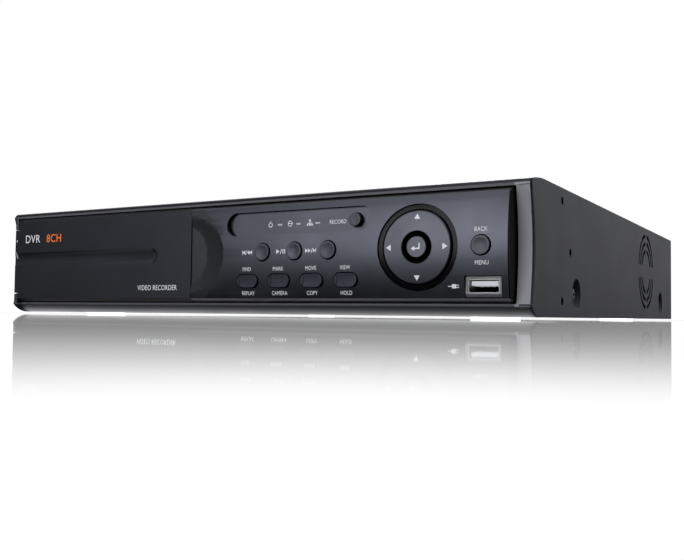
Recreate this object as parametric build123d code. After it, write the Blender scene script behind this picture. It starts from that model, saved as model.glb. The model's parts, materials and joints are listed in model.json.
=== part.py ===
from build123d import *
import os
from math import cos, radians, sin, sqrt

os.makedirs("parts", exist_ok=True)

# Eight-channel digital video recorder: a folded steel casing, a moulded front with a hinged flap,
# a bulged key panel, and the boards, drives and fan inside.
# Working frame: X to the right seen from the front, Y to the rear with 0 at the front corners of
# the side plates, Z up with 0 at the casing's underside. export() moves it to the final origin,
# the middle of the footprint at the level the feet stand on.

# ---- overall ----
WIDTH = 300.0
HEIGHT = 56.4
DEPTH = 322.7
HALF = WIDTH / 2
MID_Z = HEIGHT / 2
SHEET = 0.8  # steel thickness
FIT = 0.15  # clearance between fixed pieces
FOOT_PROUD = 1.0  # rubber below the casing
INNER = HALF - SHEET  # inner face of the side plates

# ---- front nose, shared by the side plates and the bezel ----
NOSE_TOP_Y = 17.0  # where the roll meets the top sheet
NOSE_LOW_Y = 12.0  # where the roll meets the underside
NOSE_TOP_DROP = 4.2
NOSE_LOW_RISE = 4.2
PLATE_SAG = 4.0  # hollow of the side plate's front edge
PILLAR_SAG = 2.6

# ---- bezel ----
RECESS_LOW = 5.0
RECESS_HIGH = HEIGHT - 4.5
LIP = 1.15  # height of the light lip above and below the recess
LIP_DEPTH = 3.0
RECESS_BACK = 6.0  # front face of the bezel's back wall
BEZEL_WALL = 2.0
TONGUE_Y = 26.0  # rear end of the bezel under the cover
STILE_WIDTH = 6.0
STILE_FRONT = 3.2
PILLAR_WIDTH = 5.55

# ---- flap door ----
DOOR_FACE = -2.35
DOOR_THICK = 2.2
DOOR_CHAMFER = 1.6
DOOR_EDGE_GAP = 0.6  # above and below, to the recess
HINGE_R = 1.9
HINGE_X = -HALF + 4.9
HINGE_Y = DOOR_FACE + HINGE_R
KNUCKLE_LOW = 10.3
KNUCKLE_HIGH = HEIGHT - 11.3
KNUCKLE_GAP = 0.6
LEAF_CLEAR = 0.25  # leaf edge past the hinge caps
PIN_R = 0.75
PIN_CLEAR = 0.05
PIN_LENGTH = 8.0
PIN_IN_CAP = 3.6
GROOVE_HEIGHT = 8.5
GROOVE_DEPTH = 1.0
GROOVE_SLOPE = 2.2  # run of the groove's sloped sides per mm of depth
GROOVE_END = 21.3  # groove's round end, from the door's free edge
SEAM_GAP = 0.6

# ---- key panel ----
PANEL_WIDTH = 160.4
PANEL_RIGHT = INNER - FIT - PILLAR_WIDTH - 1.2
PANEL_LEFT = PANEL_RIGHT - PANEL_WIDTH
PANEL_EDGE_Y = -3.2
PANEL_MID_Y = -5.6
PANEL_INSET = 2.2  # bulged face, in from the recess edges
PANEL_WALL = 2.0
PANEL_SLANT = 0.6
SCOOP_R = 24.1
SCOOP_SPHERE = 82.0
SCOOP_X = PANEL_LEFT - 4.5

# ---- keys: centres measured from the panel's right edge ----
PRESS = 0.7  # key travel
KEY_PROUD = 0.9
KEY_GAP = 0.4
KEY_PITCH = 17.4
OVAL_X = PANEL_RIGHT - 125.2
ROUND_X = PANEL_RIGHT - 116.3
OVAL_Z = 15.1
OVAL_LENGTH = 11.7
OVAL_HEIGHT = 6.0
ROUND_R = 3.95
MENU_X = PANEL_RIGHT - 11.2
FLANGE_Y = -1.8
FLANGE_THICK = 0.8
FLANGE_RIM = 0.9
STEM_R = 1.6
SWITCH_TIP_Y = 4.8
STEM_END = SWITCH_TIP_Y - PRESS - 0.2

# ---- status window ----
WINDOW_LEFT = PANEL_RIGHT - 137.5
WINDOW_RIGHT = PANEL_RIGHT - 60.5
WINDOW_R = 5.45
WINDOW_Z = HEIGHT - 14.9
WINDOW_FACE = -1.9
LED_X = [PANEL_RIGHT - 109.4 + 10.1 * i for i in range(3)]
RECORD_X = PANEL_RIGHT - 69.0
RECORD_R = 2.9
RECORD_FACE = -4.4

# ---- four-way pad ----
PAD_X = PANEL_RIGHT - 39.1
PAD_R = 15.4
RING_OUT = 18.15
RING_IN = 15.95
RING_DROP = 0.7
PAD_GROOVE_R = 6.9
ENTER_R = 4.6
ENTER_HOLE = 5.2
PAD_BACK = -2.4
PIVOT_Y = -1.0

# ---- front USB socket ----
USB_X = PANEL_RIGHT - 10.8
USB_Z = 11.8
USB_PLATE = (15.0, 8.2)
USB_PLATE_FACE = -3.5
USB_SHELL = (13.1, 5.7)
USB_DEPTH = 11.0

# ---- casing details ----
EAR_R = 1.8
EAR_Y = 42.2
EAR_Z = 7.0
EAR_MID_Y = 55.2
DIMPLE_Z = 10.5
DIMPLE_Y = (65.5, DEPTH - 44.2)
DIMPLE_R = 7.2
DIMPLE_FLOOR_R = 4.2
DIMPLE_DEPTH = 3.0
SCREW_R = 1.5
HEAD_R = 2.8
HEAD_HIGH = 1.7
FLANGE_HIGH = 15.0  # base pan's side flanges
REAR_LIP = 8.5  # cover's fold over the rear panel
FOOT_R = 11.0
FOOT_THICK = 3.0
FOOT_X = HALF - 30.0
FOOT_Y = (42.0, DEPTH - 38.0)

# ---- fan ----
FAN_Y = DEPTH - 93.2
FAN_Z = MID_Z + 0.8
FAN_SIZE = 50.0
FAN_THICK = 15.0
FAN_BORE_R = 23.8
FAN_TIP_R = 23.0
FAN_HUB_R = 11.5
FAN_HOLE_PITCH = 40.0
VENT_RADII = (12.85, 17.5, 22.2)
VENT_SLOT = 2.3
VENT_SPOKE_V = 4.0
VENT_SPOKE_H = 7.6

# ---- inside ----
REAR_FACE = DEPTH - SHEET - FIT  # outer face of the rear panel
BOARD_TOP = 10.4
BOARD_THICK = 1.6
BOARD_LEFT = -HALF + 10.0
BOARD_RIGHT = HALF - 25.0
BOARD_FRONT = DEPTH - 118.0
BOARD_REAR = REAR_FACE - SHEET - 1.0
FRONT_BOARD_Y = 9.0
HDD_SIZE = (101.6, 147.0, 26.1)
HDD_RIGHT = HALF - 20.0
HDD_FRONT = 38.0
HDD_LOW = 4.0
ODD_SIZE = (128.0, 126.0, 12.7)
ODD_LEFT = -HALF + 4.2
ODD_FRONT = 9.0
ODD_LOW = MID_Z - 6.2
ODD_WALL = 1.2

# ---- rear connectors, X centres on the board ----
BNC_X = [HALF - 36.0 - 19.0 * i for i in range(4)]
BNC_Z = (19.0, 39.0)
BNC_OUT_X = HALF - 112.0
BNC_R = 5.1
BNC_LENGTH = 12.0
BNC_NOSE_R = 4.85  # guide land in front of the lugs
BNC_NOSE = 2.8
BNC_LUG_R = 1.0
RCA_X = [HALF - 131.0, HALF - 145.0]
RCA_Z = (17.0, 32.0)
RCA_OUT_X = HALF - 159.0
RCA_R = 4.15
RCA_LENGTH = 9.5
VGA_X = -HALF + 114.0
HDMI_X = VGA_X
HDMI_Z = 37.0
LAN_X = -HALF + 84.0
BLOCK_X = -HALF + 53.0
JACK_X = -HALF + 19.0
EARTH_X = -HALF + 9.0
EARTH_Z = 40.0
REAR_MOST = REAR_FACE + BNC_LENGTH
FRONT_MOST = PANEL_MID_Y - KEY_PROUD
ORIGIN_Y = (FRONT_MOST + REAR_MOST) / 2


def export(node, shape):
    """Moves a node from the working frame to the part's own frame and writes it."""
    place = Pos(0, -ORIGIN_Y, FOOT_PROUD)
    solids = [place * solid for solid in shape.solids()]
    export_step(solids[0] if len(solids) == 1 else Compound(solids), f"parts/{node}.step")


def block(x0, x1, y0, y1, z0, z1):
    """A box between two corners."""
    centre = Pos((x0 + x1) / 2, (y0 + y1) / 2, (z0 + z1) / 2)
    return centre * Box(abs(x1 - x0), abs(y1 - y0), abs(z1 - z0))


def rod_x(radius, y, z, x0, x1):
    """A cylinder along X."""
    return Pos((x0 + x1) / 2, y, z) * Rot(0, 90, 0) * Cylinder(radius, abs(x1 - x0))


def rod_y(radius, x, z, y0, y1):
    """A cylinder along Y."""
    return Pos(x, (y0 + y1) / 2, z) * Rot(90, 0, 0) * Cylinder(radius, abs(y1 - y0))


def rod_z(radius, x, y, z0, z1):
    """A cylinder along Z."""
    return Pos(x, y, (z0 + z1) / 2) * Cylinder(radius, abs(z1 - z0))


def cone_y(r_front, r_rear, x, z, y0, y1):
    """A cone along Y, r_front at y0 and r_rear at y1."""
    return Pos(x, (y0 + y1) / 2, z) * Rot(-90, 0, 0) * Cone(r_front, r_rear, y1 - y0)


def tube_y(r_out, r_in, x, z, y0, y1):
    """A tube along Y."""
    return rod_y(r_out, x, z, y0, y1) - rod_y(r_in, x, z, y0 - 1, y1 + 1)


def capsule_y(x0, x1, z, radius, y0, y1):
    """A flat-sided slot shape between two round ends, along Y."""
    ends = rod_y(radius, x0 + radius, z, y0, y1) + rod_y(radius, x1 - radius, z, y0, y1)
    return ends + block(x0 + radius, x1 - radius, y0, y1, z - radius, z + radius)


def plate_y(x, z, wide, high, radius, y0, y1):
    """A rounded rectangular plate facing -Y."""
    outline = Plane.XZ * RectangleRounded(wide, high, radius)
    return Pos(x, y1, z) * extrude(outline, y1 - y0)


def slab_x(edges, x0, x1):
    """A profile drawn in (Y, Z) edges, extruded from x0 to x1."""
    face = Plane.YZ * make_face(Curve() + edges)
    return Pos(x0, 0, 0) * extrude(face, x1 - x0)


def joined(shapes):
    """One shape from many that touch or overlap."""
    shapes = list(shapes)
    return shapes[0] + shapes[1:] if len(shapes) > 1 else shapes[0]


def group(shapes):
    """Separate solids kept apart in one node."""
    return Compound([solid for shape in shapes for solid in shape.solids()])


def nose_edges(sag, back):
    """Side outline of the front: hollow front edge, rolled top and bottom, straight back."""
    top_front = (0.0, HEIGHT - NOSE_TOP_DROP)
    low_front = (0.6, NOSE_LOW_RISE)
    front = ThreePointArc(low_front, (sag + 0.3, MID_Z), top_front) if sag else Line(low_front, top_front)
    return [
        front,
        ThreePointArc(top_front, (0.9, HEIGHT - 2.5), (3.2, HEIGHT - 1.5)),
        ThreePointArc((3.2, HEIGHT - 1.5), (9.5, HEIGHT - 0.45), (NOSE_TOP_Y, HEIGHT)),
        Line((NOSE_TOP_Y, HEIGHT), (back, HEIGHT)),
        Line((back, HEIGHT), (back, 0)),
        Line((back, 0), (NOSE_LOW_Y, 0)),
        ThreePointArc((NOSE_LOW_Y, 0), (4.2, 1.35), low_front),
    ]


def panel_y(z, inset=0.0):
    """Depth of the bulged panel face at height z, moved inwards by inset."""
    half = MID_Z - RECESS_LOW - PANEL_INSET
    sagitta = PANEL_EDGE_Y - PANEL_MID_Y
    radius = (half * half + sagitta * sagitta) / (2 * sagitta)
    return PANEL_MID_Y + radius - sqrt((radius - inset) ** 2 - (z - MID_Z) ** 2)


def bulge(inset, low, high, back, x0, x1):
    """Solid behind the bulged face, moved inwards by inset, between two heights."""
    face = ThreePointArc((panel_y(low, inset), low), (panel_y(MID_Z, inset), MID_Z), (panel_y(high, inset), high))
    sides = [
        Line((panel_y(high, inset), high), (back, high)),
        Line((back, high), (back, low)),
        Line((back, low), (panel_y(low, inset), low)),
    ]
    return slab_x([face] + sides, x0, x1)


def cap_screw_x(side, y, z, face, length):
    """Pan-head screw along X with its head's seat at x = side * face, pointing inwards."""
    seat = side * face
    head = rod_x(HEAD_R, y, z, seat, seat + side * HEAD_HIGH)
    head = fillet(head.edges().filter_by(GeomType.CIRCLE).sort_by(Axis.X)[-1 if side > 0 else 0], 0.8)
    shank = rod_x(SCREW_R, y, z, seat - side * length, seat)
    tip = seat + side * HEAD_HIGH
    cross = block(tip - side * 1.0, tip + side, y - 1.5, y + 1.5, z - 0.35, z + 0.35)
    cross += block(tip - side * 1.0, tip + side, y - 0.35, y + 0.35, z - 1.5, z + 1.5)
    return head + shank - cross


def cap_screw_y(x, z, face, length):
    """Pan-head screw along Y in the rear panel, head outside."""
    head = rod_y(HEAD_R, x, z, face, face + HEAD_HIGH)
    head = fillet(head.edges().filter_by(GeomType.CIRCLE).sort_by(Axis.Y)[-1], 0.8)
    shank = rod_y(SCREW_R, x, z, face - length, face)
    tip = face + HEAD_HIGH
    cross = block(x - 1.5, x + 1.5, tip - 1.0, tip + 1, z - 0.35, z + 0.35)
    cross += block(x - 0.35, x + 0.35, tip - 1.0, tip + 1, z - 1.5, z + 1.5)
    return head + shank - cross


# ---------------------------------------------------------------- casing
REAR_SCREW_X = (-(HALF - 20.0), 0.0, HALF - 20.0)
LIP_SCREW_Z = HEIGHT - 4.6


def fan_ring_slots(x0, x1):
    """Three broken rings of slots in front of the fan."""
    rings = []
    for radius in VENT_RADII:
        outer = rod_x(radius + VENT_SLOT / 2, FAN_Y, FAN_Z, x0, x1)
        rings.append(outer - rod_x(radius - VENT_SLOT / 2, FAN_Y, FAN_Z, x0 - 1, x1 + 1))
    reach = FAN_SIZE
    spokes = block(x0, x1, FAN_Y - VENT_SPOKE_V / 2, FAN_Y + VENT_SPOKE_V / 2, FAN_Z - reach, FAN_Z + reach)
    spokes += block(x0, x1, FAN_Y - reach, FAN_Y + reach, FAN_Z - VENT_SPOKE_H / 2, FAN_Z + VENT_SPOKE_H / 2)
    return joined(rings) - spokes


def dimple(side, y):
    """Outside of a pressed-in screw dish: a truncated cone whose wide end is at the plate's face."""
    cone = Cone(DIMPLE_FLOOR_R, DIMPLE_R, DIMPLE_DEPTH)
    return Pos(side * (HALF - DIMPLE_DEPTH / 2), y, DIMPLE_Z) * Rot(0, side * 90, 0) * cone


def dimple_back(side, y):
    """Metal behind a screw dish, one sheet thickness larger."""
    cone = Cone(DIMPLE_FLOOR_R + SHEET, DIMPLE_R + SHEET, DIMPLE_DEPTH)
    return Pos(side * (INNER - DIMPLE_DEPTH / 2), y, DIMPLE_Z) * Rot(0, side * 90, 0) * cone


def side_plate(side):
    """One side of the cover with its dishes and ear holes."""
    inner, outer = sorted((side * INNER, side * HALF))
    plate = slab_x(nose_edges(PLATE_SAG, DEPTH), inner, outer)
    for y in DIMPLE_Y:
        plate = plate + dimple_back(side, y) - dimple(side, y)
        plate -= rod_x(SCREW_R + 0.2, y, DIMPLE_Z, side * (HALF + 1), side * (HALF - 8))
    for y, z in ((EAR_Y, EAR_Z), (EAR_Y, HEIGHT - EAR_Z + 1.0), (EAR_MID_Y, MID_Z + 0.6)):
        plate -= rod_x(EAR_R, y, z, side * (INNER - 1), side * (HALF + 1))
    return plate


def make_top_cover():
    """Folded sheet: top, two sides that run to the front, and a lip over the rear panel."""
    cover = block(-HALF, HALF, NOSE_TOP_Y + FIT, DEPTH, HEIGHT - SHEET, HEIGHT)
    cover = cover + side_plate(1) + side_plate(-1)
    cover += block(-INNER, INNER, DEPTH - SHEET, DEPTH, HEIGHT - REAR_LIP, HEIGHT)
    for x in REAR_SCREW_X:
        cover -= rod_y(SCREW_R + 0.2, x, LIP_SCREW_Z, DEPTH - 3, DEPTH + 1)
    top_bends = cover.edges().filter_by(Axis.Y).group_by(Axis.Z)[-1]
    cover = fillet([e for e in top_bends if abs(e.center().X) > HALF - 0.01], 0.7)
    cover -= fan_ring_slots(INNER - 1, HALF + 1)
    for i in range(9):  # air intake on the far side
        y = FAN_Y - 24.0 + 6.0 * i
        slot = block(-HALF - 1, -INNER + 1, y - 1.2, y + 1.2, MID_Z - 12.0, MID_Z + 12.0)
        cover -= slot + rod_x(1.2, y, MID_Z - 12.0, -HALF - 1, -INNER + 1) + rod_x(
            1.2, y, MID_Z + 12.0, -HALF - 1, -INNER + 1
        )
    return cover


FOOT_PLACES = [(sx * FOOT_X, y) for sx in (-1, 1) for y in FOOT_Y]
WELL_DEEP = FOOT_THICK - FOOT_PROUD
PAN_OUT = INNER - FIT
PAN_FRONT = NOSE_TOP_Y + FIT


def pan_flange(side):
    """Side flange of the base pan, with clearance round the cover's dishes and ear holes."""
    x_in, x_out = sorted((side * (PAN_OUT - SHEET), side * PAN_OUT))
    flange = block(x_in, x_out, TONGUE_Y + 1, REAR_FACE, 0, FLANGE_HIGH)
    for y in DIMPLE_Y:
        reach = DIMPLE_R + SHEET + FIT
        flange -= rod_x(reach, y, DIMPLE_Z, x_in - 1, x_out + 1)
        flange -= block(x_in - 1, x_out + 1, y - reach, y + reach, DIMPLE_Z, FLANGE_HIGH + 1)
    return flange - rod_x(EAR_R + 0.5, EAR_Y, EAR_Z, x_in - 1, x_out + 1)


def screw_tab(side, y):
    """Bent tab that takes the cover's side screw, inboard of the dish."""
    x = INNER - DIMPLE_DEPTH - 0.1
    tab = block(side * (x - 1.2), side * x, y - 9, y + 9, 0, DIMPLE_Z + 6)
    return tab - rod_x(SCREW_R, y, DIMPLE_Z, side * (x - 3), side * (x + 1))


def make_base_pan():
    """Floor, side flanges, fan plate and rear panel with its connector cut-outs."""
    pan = block(-PAN_OUT, PAN_OUT, PAN_FRONT, REAR_FACE, 0, SHEET)
    for x, y in FOOT_PLACES:
        pan += rod_z(FOOT_R + FIT + SHEET, x, y, 0, WELL_DEEP + SHEET)
        pan -= rod_z(FOOT_R + FIT, x, y, -1, WELL_DEEP)
    pan = pan + pan_flange(1) + pan_flange(-1)
    for side in (-1, 1):
        for y in DIMPLE_Y:
            pan += screw_tab(side, y)
    fan_plate = block(
        PAN_OUT - SHEET, PAN_OUT, FAN_Y - 27, FAN_Y + 27, 0, min(FAN_Z + 26, HEIGHT - SHEET - FIT)
    )
    pan = pan + fan_plate - rod_x(FAN_BORE_R, FAN_Y, FAN_Z, PAN_OUT - 3, PAN_OUT + 1)
    for y, z in FAN_HOLES:
        pan -= rod_x(SCREW_R + 0.2, y, z, PAN_OUT - 3, PAN_OUT + 1)
    rear = block(-PAN_OUT, PAN_OUT, REAR_FACE - SHEET, REAR_FACE, 0, HEIGHT - SHEET - FIT)
    rear += block(-PAN_OUT, PAN_OUT, REAR_FACE - 9, REAR_FACE, HEIGHT - 2 * SHEET - FIT, HEIGHT - SHEET - FIT)
    for cut in rear_cutouts():
        rear -= cut
    pan += rear
    for i in range(14):  # floor vents under the drive
        x = HDD_RIGHT - HDD_SIZE[0] + 12.0 + 6.0 * i
        pan -= block(x - 1.2, x + 1.2, HDD_FRONT + 30, HDD_FRONT + 70, -1, SHEET + 1)
    return pan


REAR_SLOT_ROWS = (HEIGHT - 14.0, HEIGHT - 19.0)


def rear_cutouts():
    """Openings in the rear panel, each one clearance larger than what passes through it."""
    y0, y1 = REAR_FACE - 3, REAR_FACE + 1
    clear = 0.25
    cuts = [rod_y(BNC_R + 1.6 + clear, x, z, y0, y1) for x, z in BNC_PLACES]
    cuts += [rod_y(RCA_R + 0.6 + clear, x, z, y0, y1) for x, z in RCA_PLACES]
    cuts.append(plate_y(VGA_X, VGA_Z, 17.4, 9.0, 2.0, y0, y1))
    cuts += [rod_y(2.6, VGA_X + s * 12.5, VGA_Z, y0, y1) for s in (-1, 1)]
    cuts.append(plate_y(HDMI_X, HDMI_Z, 15.6 + 2 * clear, 6.2 + 2 * clear, 0.6, y0, y1))
    cuts.append(block(LAN_X - 8.0 - clear, LAN_X + 8.0 + clear, y0, y1, BOARD_TOP - clear, BOARD_TOP + 13.6))
    half_block = BLOCK_WAYS * BLOCK_PITCH / 2
    cuts.append(
        block(BLOCK_X - half_block - 1, BLOCK_X + half_block + 1, y0, y1, BOARD_TOP - clear, BOARD_TOP + 9.4)
    )
    cuts.append(rod_y(4.5 + clear, JACK_X, JACK_Z, y0, y1))
    cuts.append(rod_y(SCREW_R, EARTH_X, EARTH_Z, y0, y1))
    cuts += [rod_y(SCREW_R, x, LIP_SCREW_Z, y0, y1) for x in REAR_SCREW_X]
    for z in REAR_SLOT_ROWS:
        for i in range(7):
            x = -HALF + 34.0 + 15.0 * i
            if abs(x - HDMI_X) < 14 and z < HDMI_Z + 6:
                continue
            cuts.append(capsule_y(x - 5.5, x + 5.5, z, 1.2, y0, y1))
    return cuts


VGA_Z = BOARD_TOP + 6.3
JACK_Z = BOARD_TOP + 6.5
BLOCK_WAYS = 10
BLOCK_PITCH = 3.81
BNC_PLACES = [(x, z) for x in BNC_X for z in BNC_Z] + [(BNC_OUT_X, BNC_Z[0])]
RCA_PLACES = [(x, z) for x in RCA_X for z in RCA_Z] + [(RCA_OUT_X, RCA_Z[0])]
FAN_HOLES = [
    (FAN_Y + sy * FAN_HOLE_PITCH / 2, FAN_Z + sz * FAN_HOLE_PITCH / 2) for sy in (-1, 1) for sz in (-1, 1)
]


def make_cover_screws():
    """Four side screws in the dishes and three in the rear lip."""
    seat = HALF - DIMPLE_DEPTH
    screws = [cap_screw_x(side, y, DIMPLE_Z, seat, 3.6) for side in (-1, 1) for y in DIMPLE_Y]
    screws += [cap_screw_y(x, LIP_SCREW_Z, DEPTH, 5.0) for x in REAR_SCREW_X]
    return group(screws)


def make_feet():
    """Four round rubber pads in the pan's wells."""
    pads = []
    for x, y in FOOT_PLACES:
        pad = rod_z(FOOT_R, x, y, -FOOT_PROUD, WELL_DEEP)
        low_rim = pad.edges().filter_by(GeomType.CIRCLE).sort_by(Axis.Z)[0]
        pads.append(fillet(low_rim, 0.6))
    return group(pads)


# ---------------------------------------------------------------- moulded front
BEZEL_HALF = INNER - FIT
PILLAR_RIGHT = BEZEL_HALF
PILLAR_LEFT = PILLAR_RIGHT - PILLAR_WIDTH
CAP_LEFT = HINGE_X - HINGE_R


def make_trim_frame():
    """Light grey trim: the right pillar and the thin lips above and below the recess."""
    nose = slab_x(nose_edges(0, TONGUE_Y), -BEZEL_HALF, BEZEL_HALF)
    lips = block(-BEZEL_HALF, PILLAR_LEFT + 1, -1, LIP_DEPTH, RECESS_HIGH, RECESS_HIGH + LIP)
    lips += block(-BEZEL_HALF, PILLAR_LEFT + 1, -1, LIP_DEPTH, RECESS_LOW - LIP, RECESS_LOW)
    pillar = slab_x(nose_edges(PILLAR_SAG, TONGUE_Y), PILLAR_LEFT, PILLAR_RIGHT)
    pillar &= block(PILLAR_LEFT, PILLAR_RIGHT, -1, RECESS_BACK, RECESS_LOW - LIP, RECESS_HIGH + LIP)
    return (nose & lips) + pillar


def hinge_cap(low, high):
    """Fixed barrel and its foot at the door's hinge line."""
    barrel = rod_z(HINGE_R, HINGE_X, HINGE_Y, low, high)
    foot = block(CAP_LEFT, HINGE_X + HINGE_R, HINGE_Y, RECESS_BACK + 1, low, high)
    return barrel + foot


CAPS = ((RECESS_LOW, KNUCKLE_LOW - KNUCKLE_GAP), (KNUCKLE_HIGH + KNUCKLE_GAP, RECESS_HIGH))
PIN_SPANS = (
    (KNUCKLE_LOW - KNUCKLE_GAP - PIN_IN_CAP, KNUCKLE_LOW - KNUCKLE_GAP - PIN_IN_CAP + PIN_LENGTH),
    (KNUCKLE_HIGH + KNUCKLE_GAP + PIN_IN_CAP - PIN_LENGTH, KNUCKLE_HIGH + KNUCKLE_GAP + PIN_IN_CAP),
)
ROUND_PLACES = [(ROUND_X + KEY_PITCH * i, MID_Z) for i in range(3)] + [(MENU_X, MID_Z)]
OVAL_PLACES = [(OVAL_X + KEY_PITCH * i, OVAL_Z) for i in range(4)]
PAD_SWITCHES = [(PAD_X + 11 * cos(radians(a)), MID_Z + 11 * sin(radians(a))) for a in (0, 90, 180, 270)]
SWITCH_PLACES = ROUND_PLACES + OVAL_PLACES + [(RECORD_X, WINDOW_Z), (PAD_X, MID_Z)] + PAD_SWITCHES


def make_bezel_frame(trim):
    """Front moulding: rolled rails, recess, back wall with openings, hinge caps."""
    bezel = slab_x(nose_edges(0, TONGUE_Y), -BEZEL_HALF, BEZEL_HALF)
    bezel -= block(-HALF, HALF, -2, RECESS_BACK, RECESS_LOW, RECESS_HIGH)
    inside = BEZEL_HALF - BEZEL_WALL
    bezel -= block(-inside, inside, RECESS_BACK + BEZEL_WALL, TONGUE_Y + 1, 3.0, HEIGHT - 3.0)
    step = SHEET + FIT
    bezel -= block(-HALF, HALF, NOSE_TOP_Y, TONGUE_Y + 1, HEIGHT - step, HEIGHT + 1)
    bezel -= block(-HALF, HALF, NOSE_TOP_Y, TONGUE_Y + 1, -1, step)
    bezel += block(-BEZEL_HALF, -BEZEL_HALF + STILE_WIDTH, STILE_FRONT, RECESS_BACK + 1, RECESS_LOW, RECESS_HIGH)
    for low, high in CAPS:
        bezel += hinge_cap(low, high)
    for low, high in PIN_SPANS:
        bezel -= rod_z(PIN_R, HINGE_X, HINGE_Y, low, high)
    for x, z in SWITCH_PLACES:
        bezel -= block(x - 3.4, x + 3.4, RECESS_BACK - 1, RECESS_BACK + 3, z - 3.4, z + 3.4)
    for x in LED_X:
        bezel -= block(x - 1.6, x + 1.6, RECESS_BACK - 1, RECESS_BACK + 3, WINDOW_Z - 1.5, WINDOW_Z + 1.5)
    usb_w, usb_h = USB_SHELL
    bezel -= block(
        USB_X - usb_w / 2 - 0.3, USB_X + usb_w / 2 + 0.3, 5, 9, USB_Z - usb_h / 2 - 0.3, USB_Z + usb_h / 2 + 0.3
    )
    wide, _, high = ODD_SIZE
    bezel -= block(
        max(ODD_LEFT + 3.0, -inside), ODD_LEFT + wide - 1.5, 5, 9, ODD_LOW - 0.3, ODD_LOW + high + 0.3
    )
    return bezel - trim


def make_hinge_pins():
    """Two steel pins, tight in the caps and free in the door's knuckle."""
    return group([rod_z(PIN_R, HINGE_X, HINGE_Y, low, high) for low, high in PIN_SPANS])


DOOR_RIGHT = PANEL_LEFT - SEAM_GAP
LEAF_LEFT = HINGE_X + HINGE_R + LEAF_CLEAR


def make_door():
    """Flat flap with bevelled long edges, a sloped-sided groove and the hinge knuckle."""
    low = RECESS_LOW + DOOR_EDGE_GAP
    high = RECESS_HIGH - DOOR_EDGE_GAP
    back = DOOR_FACE + DOOR_THICK
    edges = [
        Line((back, low), (back, high)),
        Line((back, high), (DOOR_FACE, high - DOOR_CHAMFER)),
        Line((DOOR_FACE, high - DOOR_CHAMFER), (DOOR_FACE, low + DOOR_CHAMFER)),
        Line((DOOR_FACE, low + DOOR_CHAMFER), (back, low)),
    ]
    door = slab_x(edges, LEAF_LEFT, DOOR_RIGHT)
    free_edge = door.edges().filter_by(Axis.Z).sort_by(Axis.X)[-2:].sort_by(Axis.Y)[0]
    door = fillet(free_edge, 0.3)
    door += block(HINGE_X, LEAF_LEFT + 1, DOOR_FACE, back, KNUCKLE_LOW, KNUCKLE_HIGH)
    door += rod_z(HINGE_R, HINGE_X, HINGE_Y, KNUCKLE_LOW, KNUCKLE_HIGH)
    end = DOOR_RIGHT - GROOVE_END
    radius = GROOVE_HEIGHT / 2
    front = DOOR_FACE - 0.3
    floor = DOOR_FACE + GROOVE_DEPTH
    wide = radius + 0.3 * GROOVE_SLOPE
    narrow = radius - GROOVE_DEPTH * GROOVE_SLOPE
    sides = [
        Line((front, MID_Z - wide), (front, MID_Z + wide)),
        Line((front, MID_Z + wide), (floor, MID_Z + narrow)),
        Line((floor, MID_Z + narrow), (floor, MID_Z - narrow)),
        Line((floor, MID_Z - narrow), (front, MID_Z - wide)),
    ]
    door -= slab_x(sides, -HALF, end - radius) + cone_y(wide, narrow, end - radius, MID_Z, front, floor)
    for low, high in PIN_SPANS:
        door -= rod_z(PIN_R + PIN_CLEAR, HINGE_X, HINGE_Y, low - 1, high + 0.3)
        door -= rod_z(PIN_R + PIN_CLEAR, HINGE_X, HINGE_Y, low - 0.3, high + 0.3)
    return door


PANEL_LOW = RECESS_LOW + 0.5
PANEL_HIGH = RECESS_HIGH - 0.5
FACE_LOW = RECESS_LOW + PANEL_INSET
FACE_HIGH = RECESS_HIGH - PANEL_INSET


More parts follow.
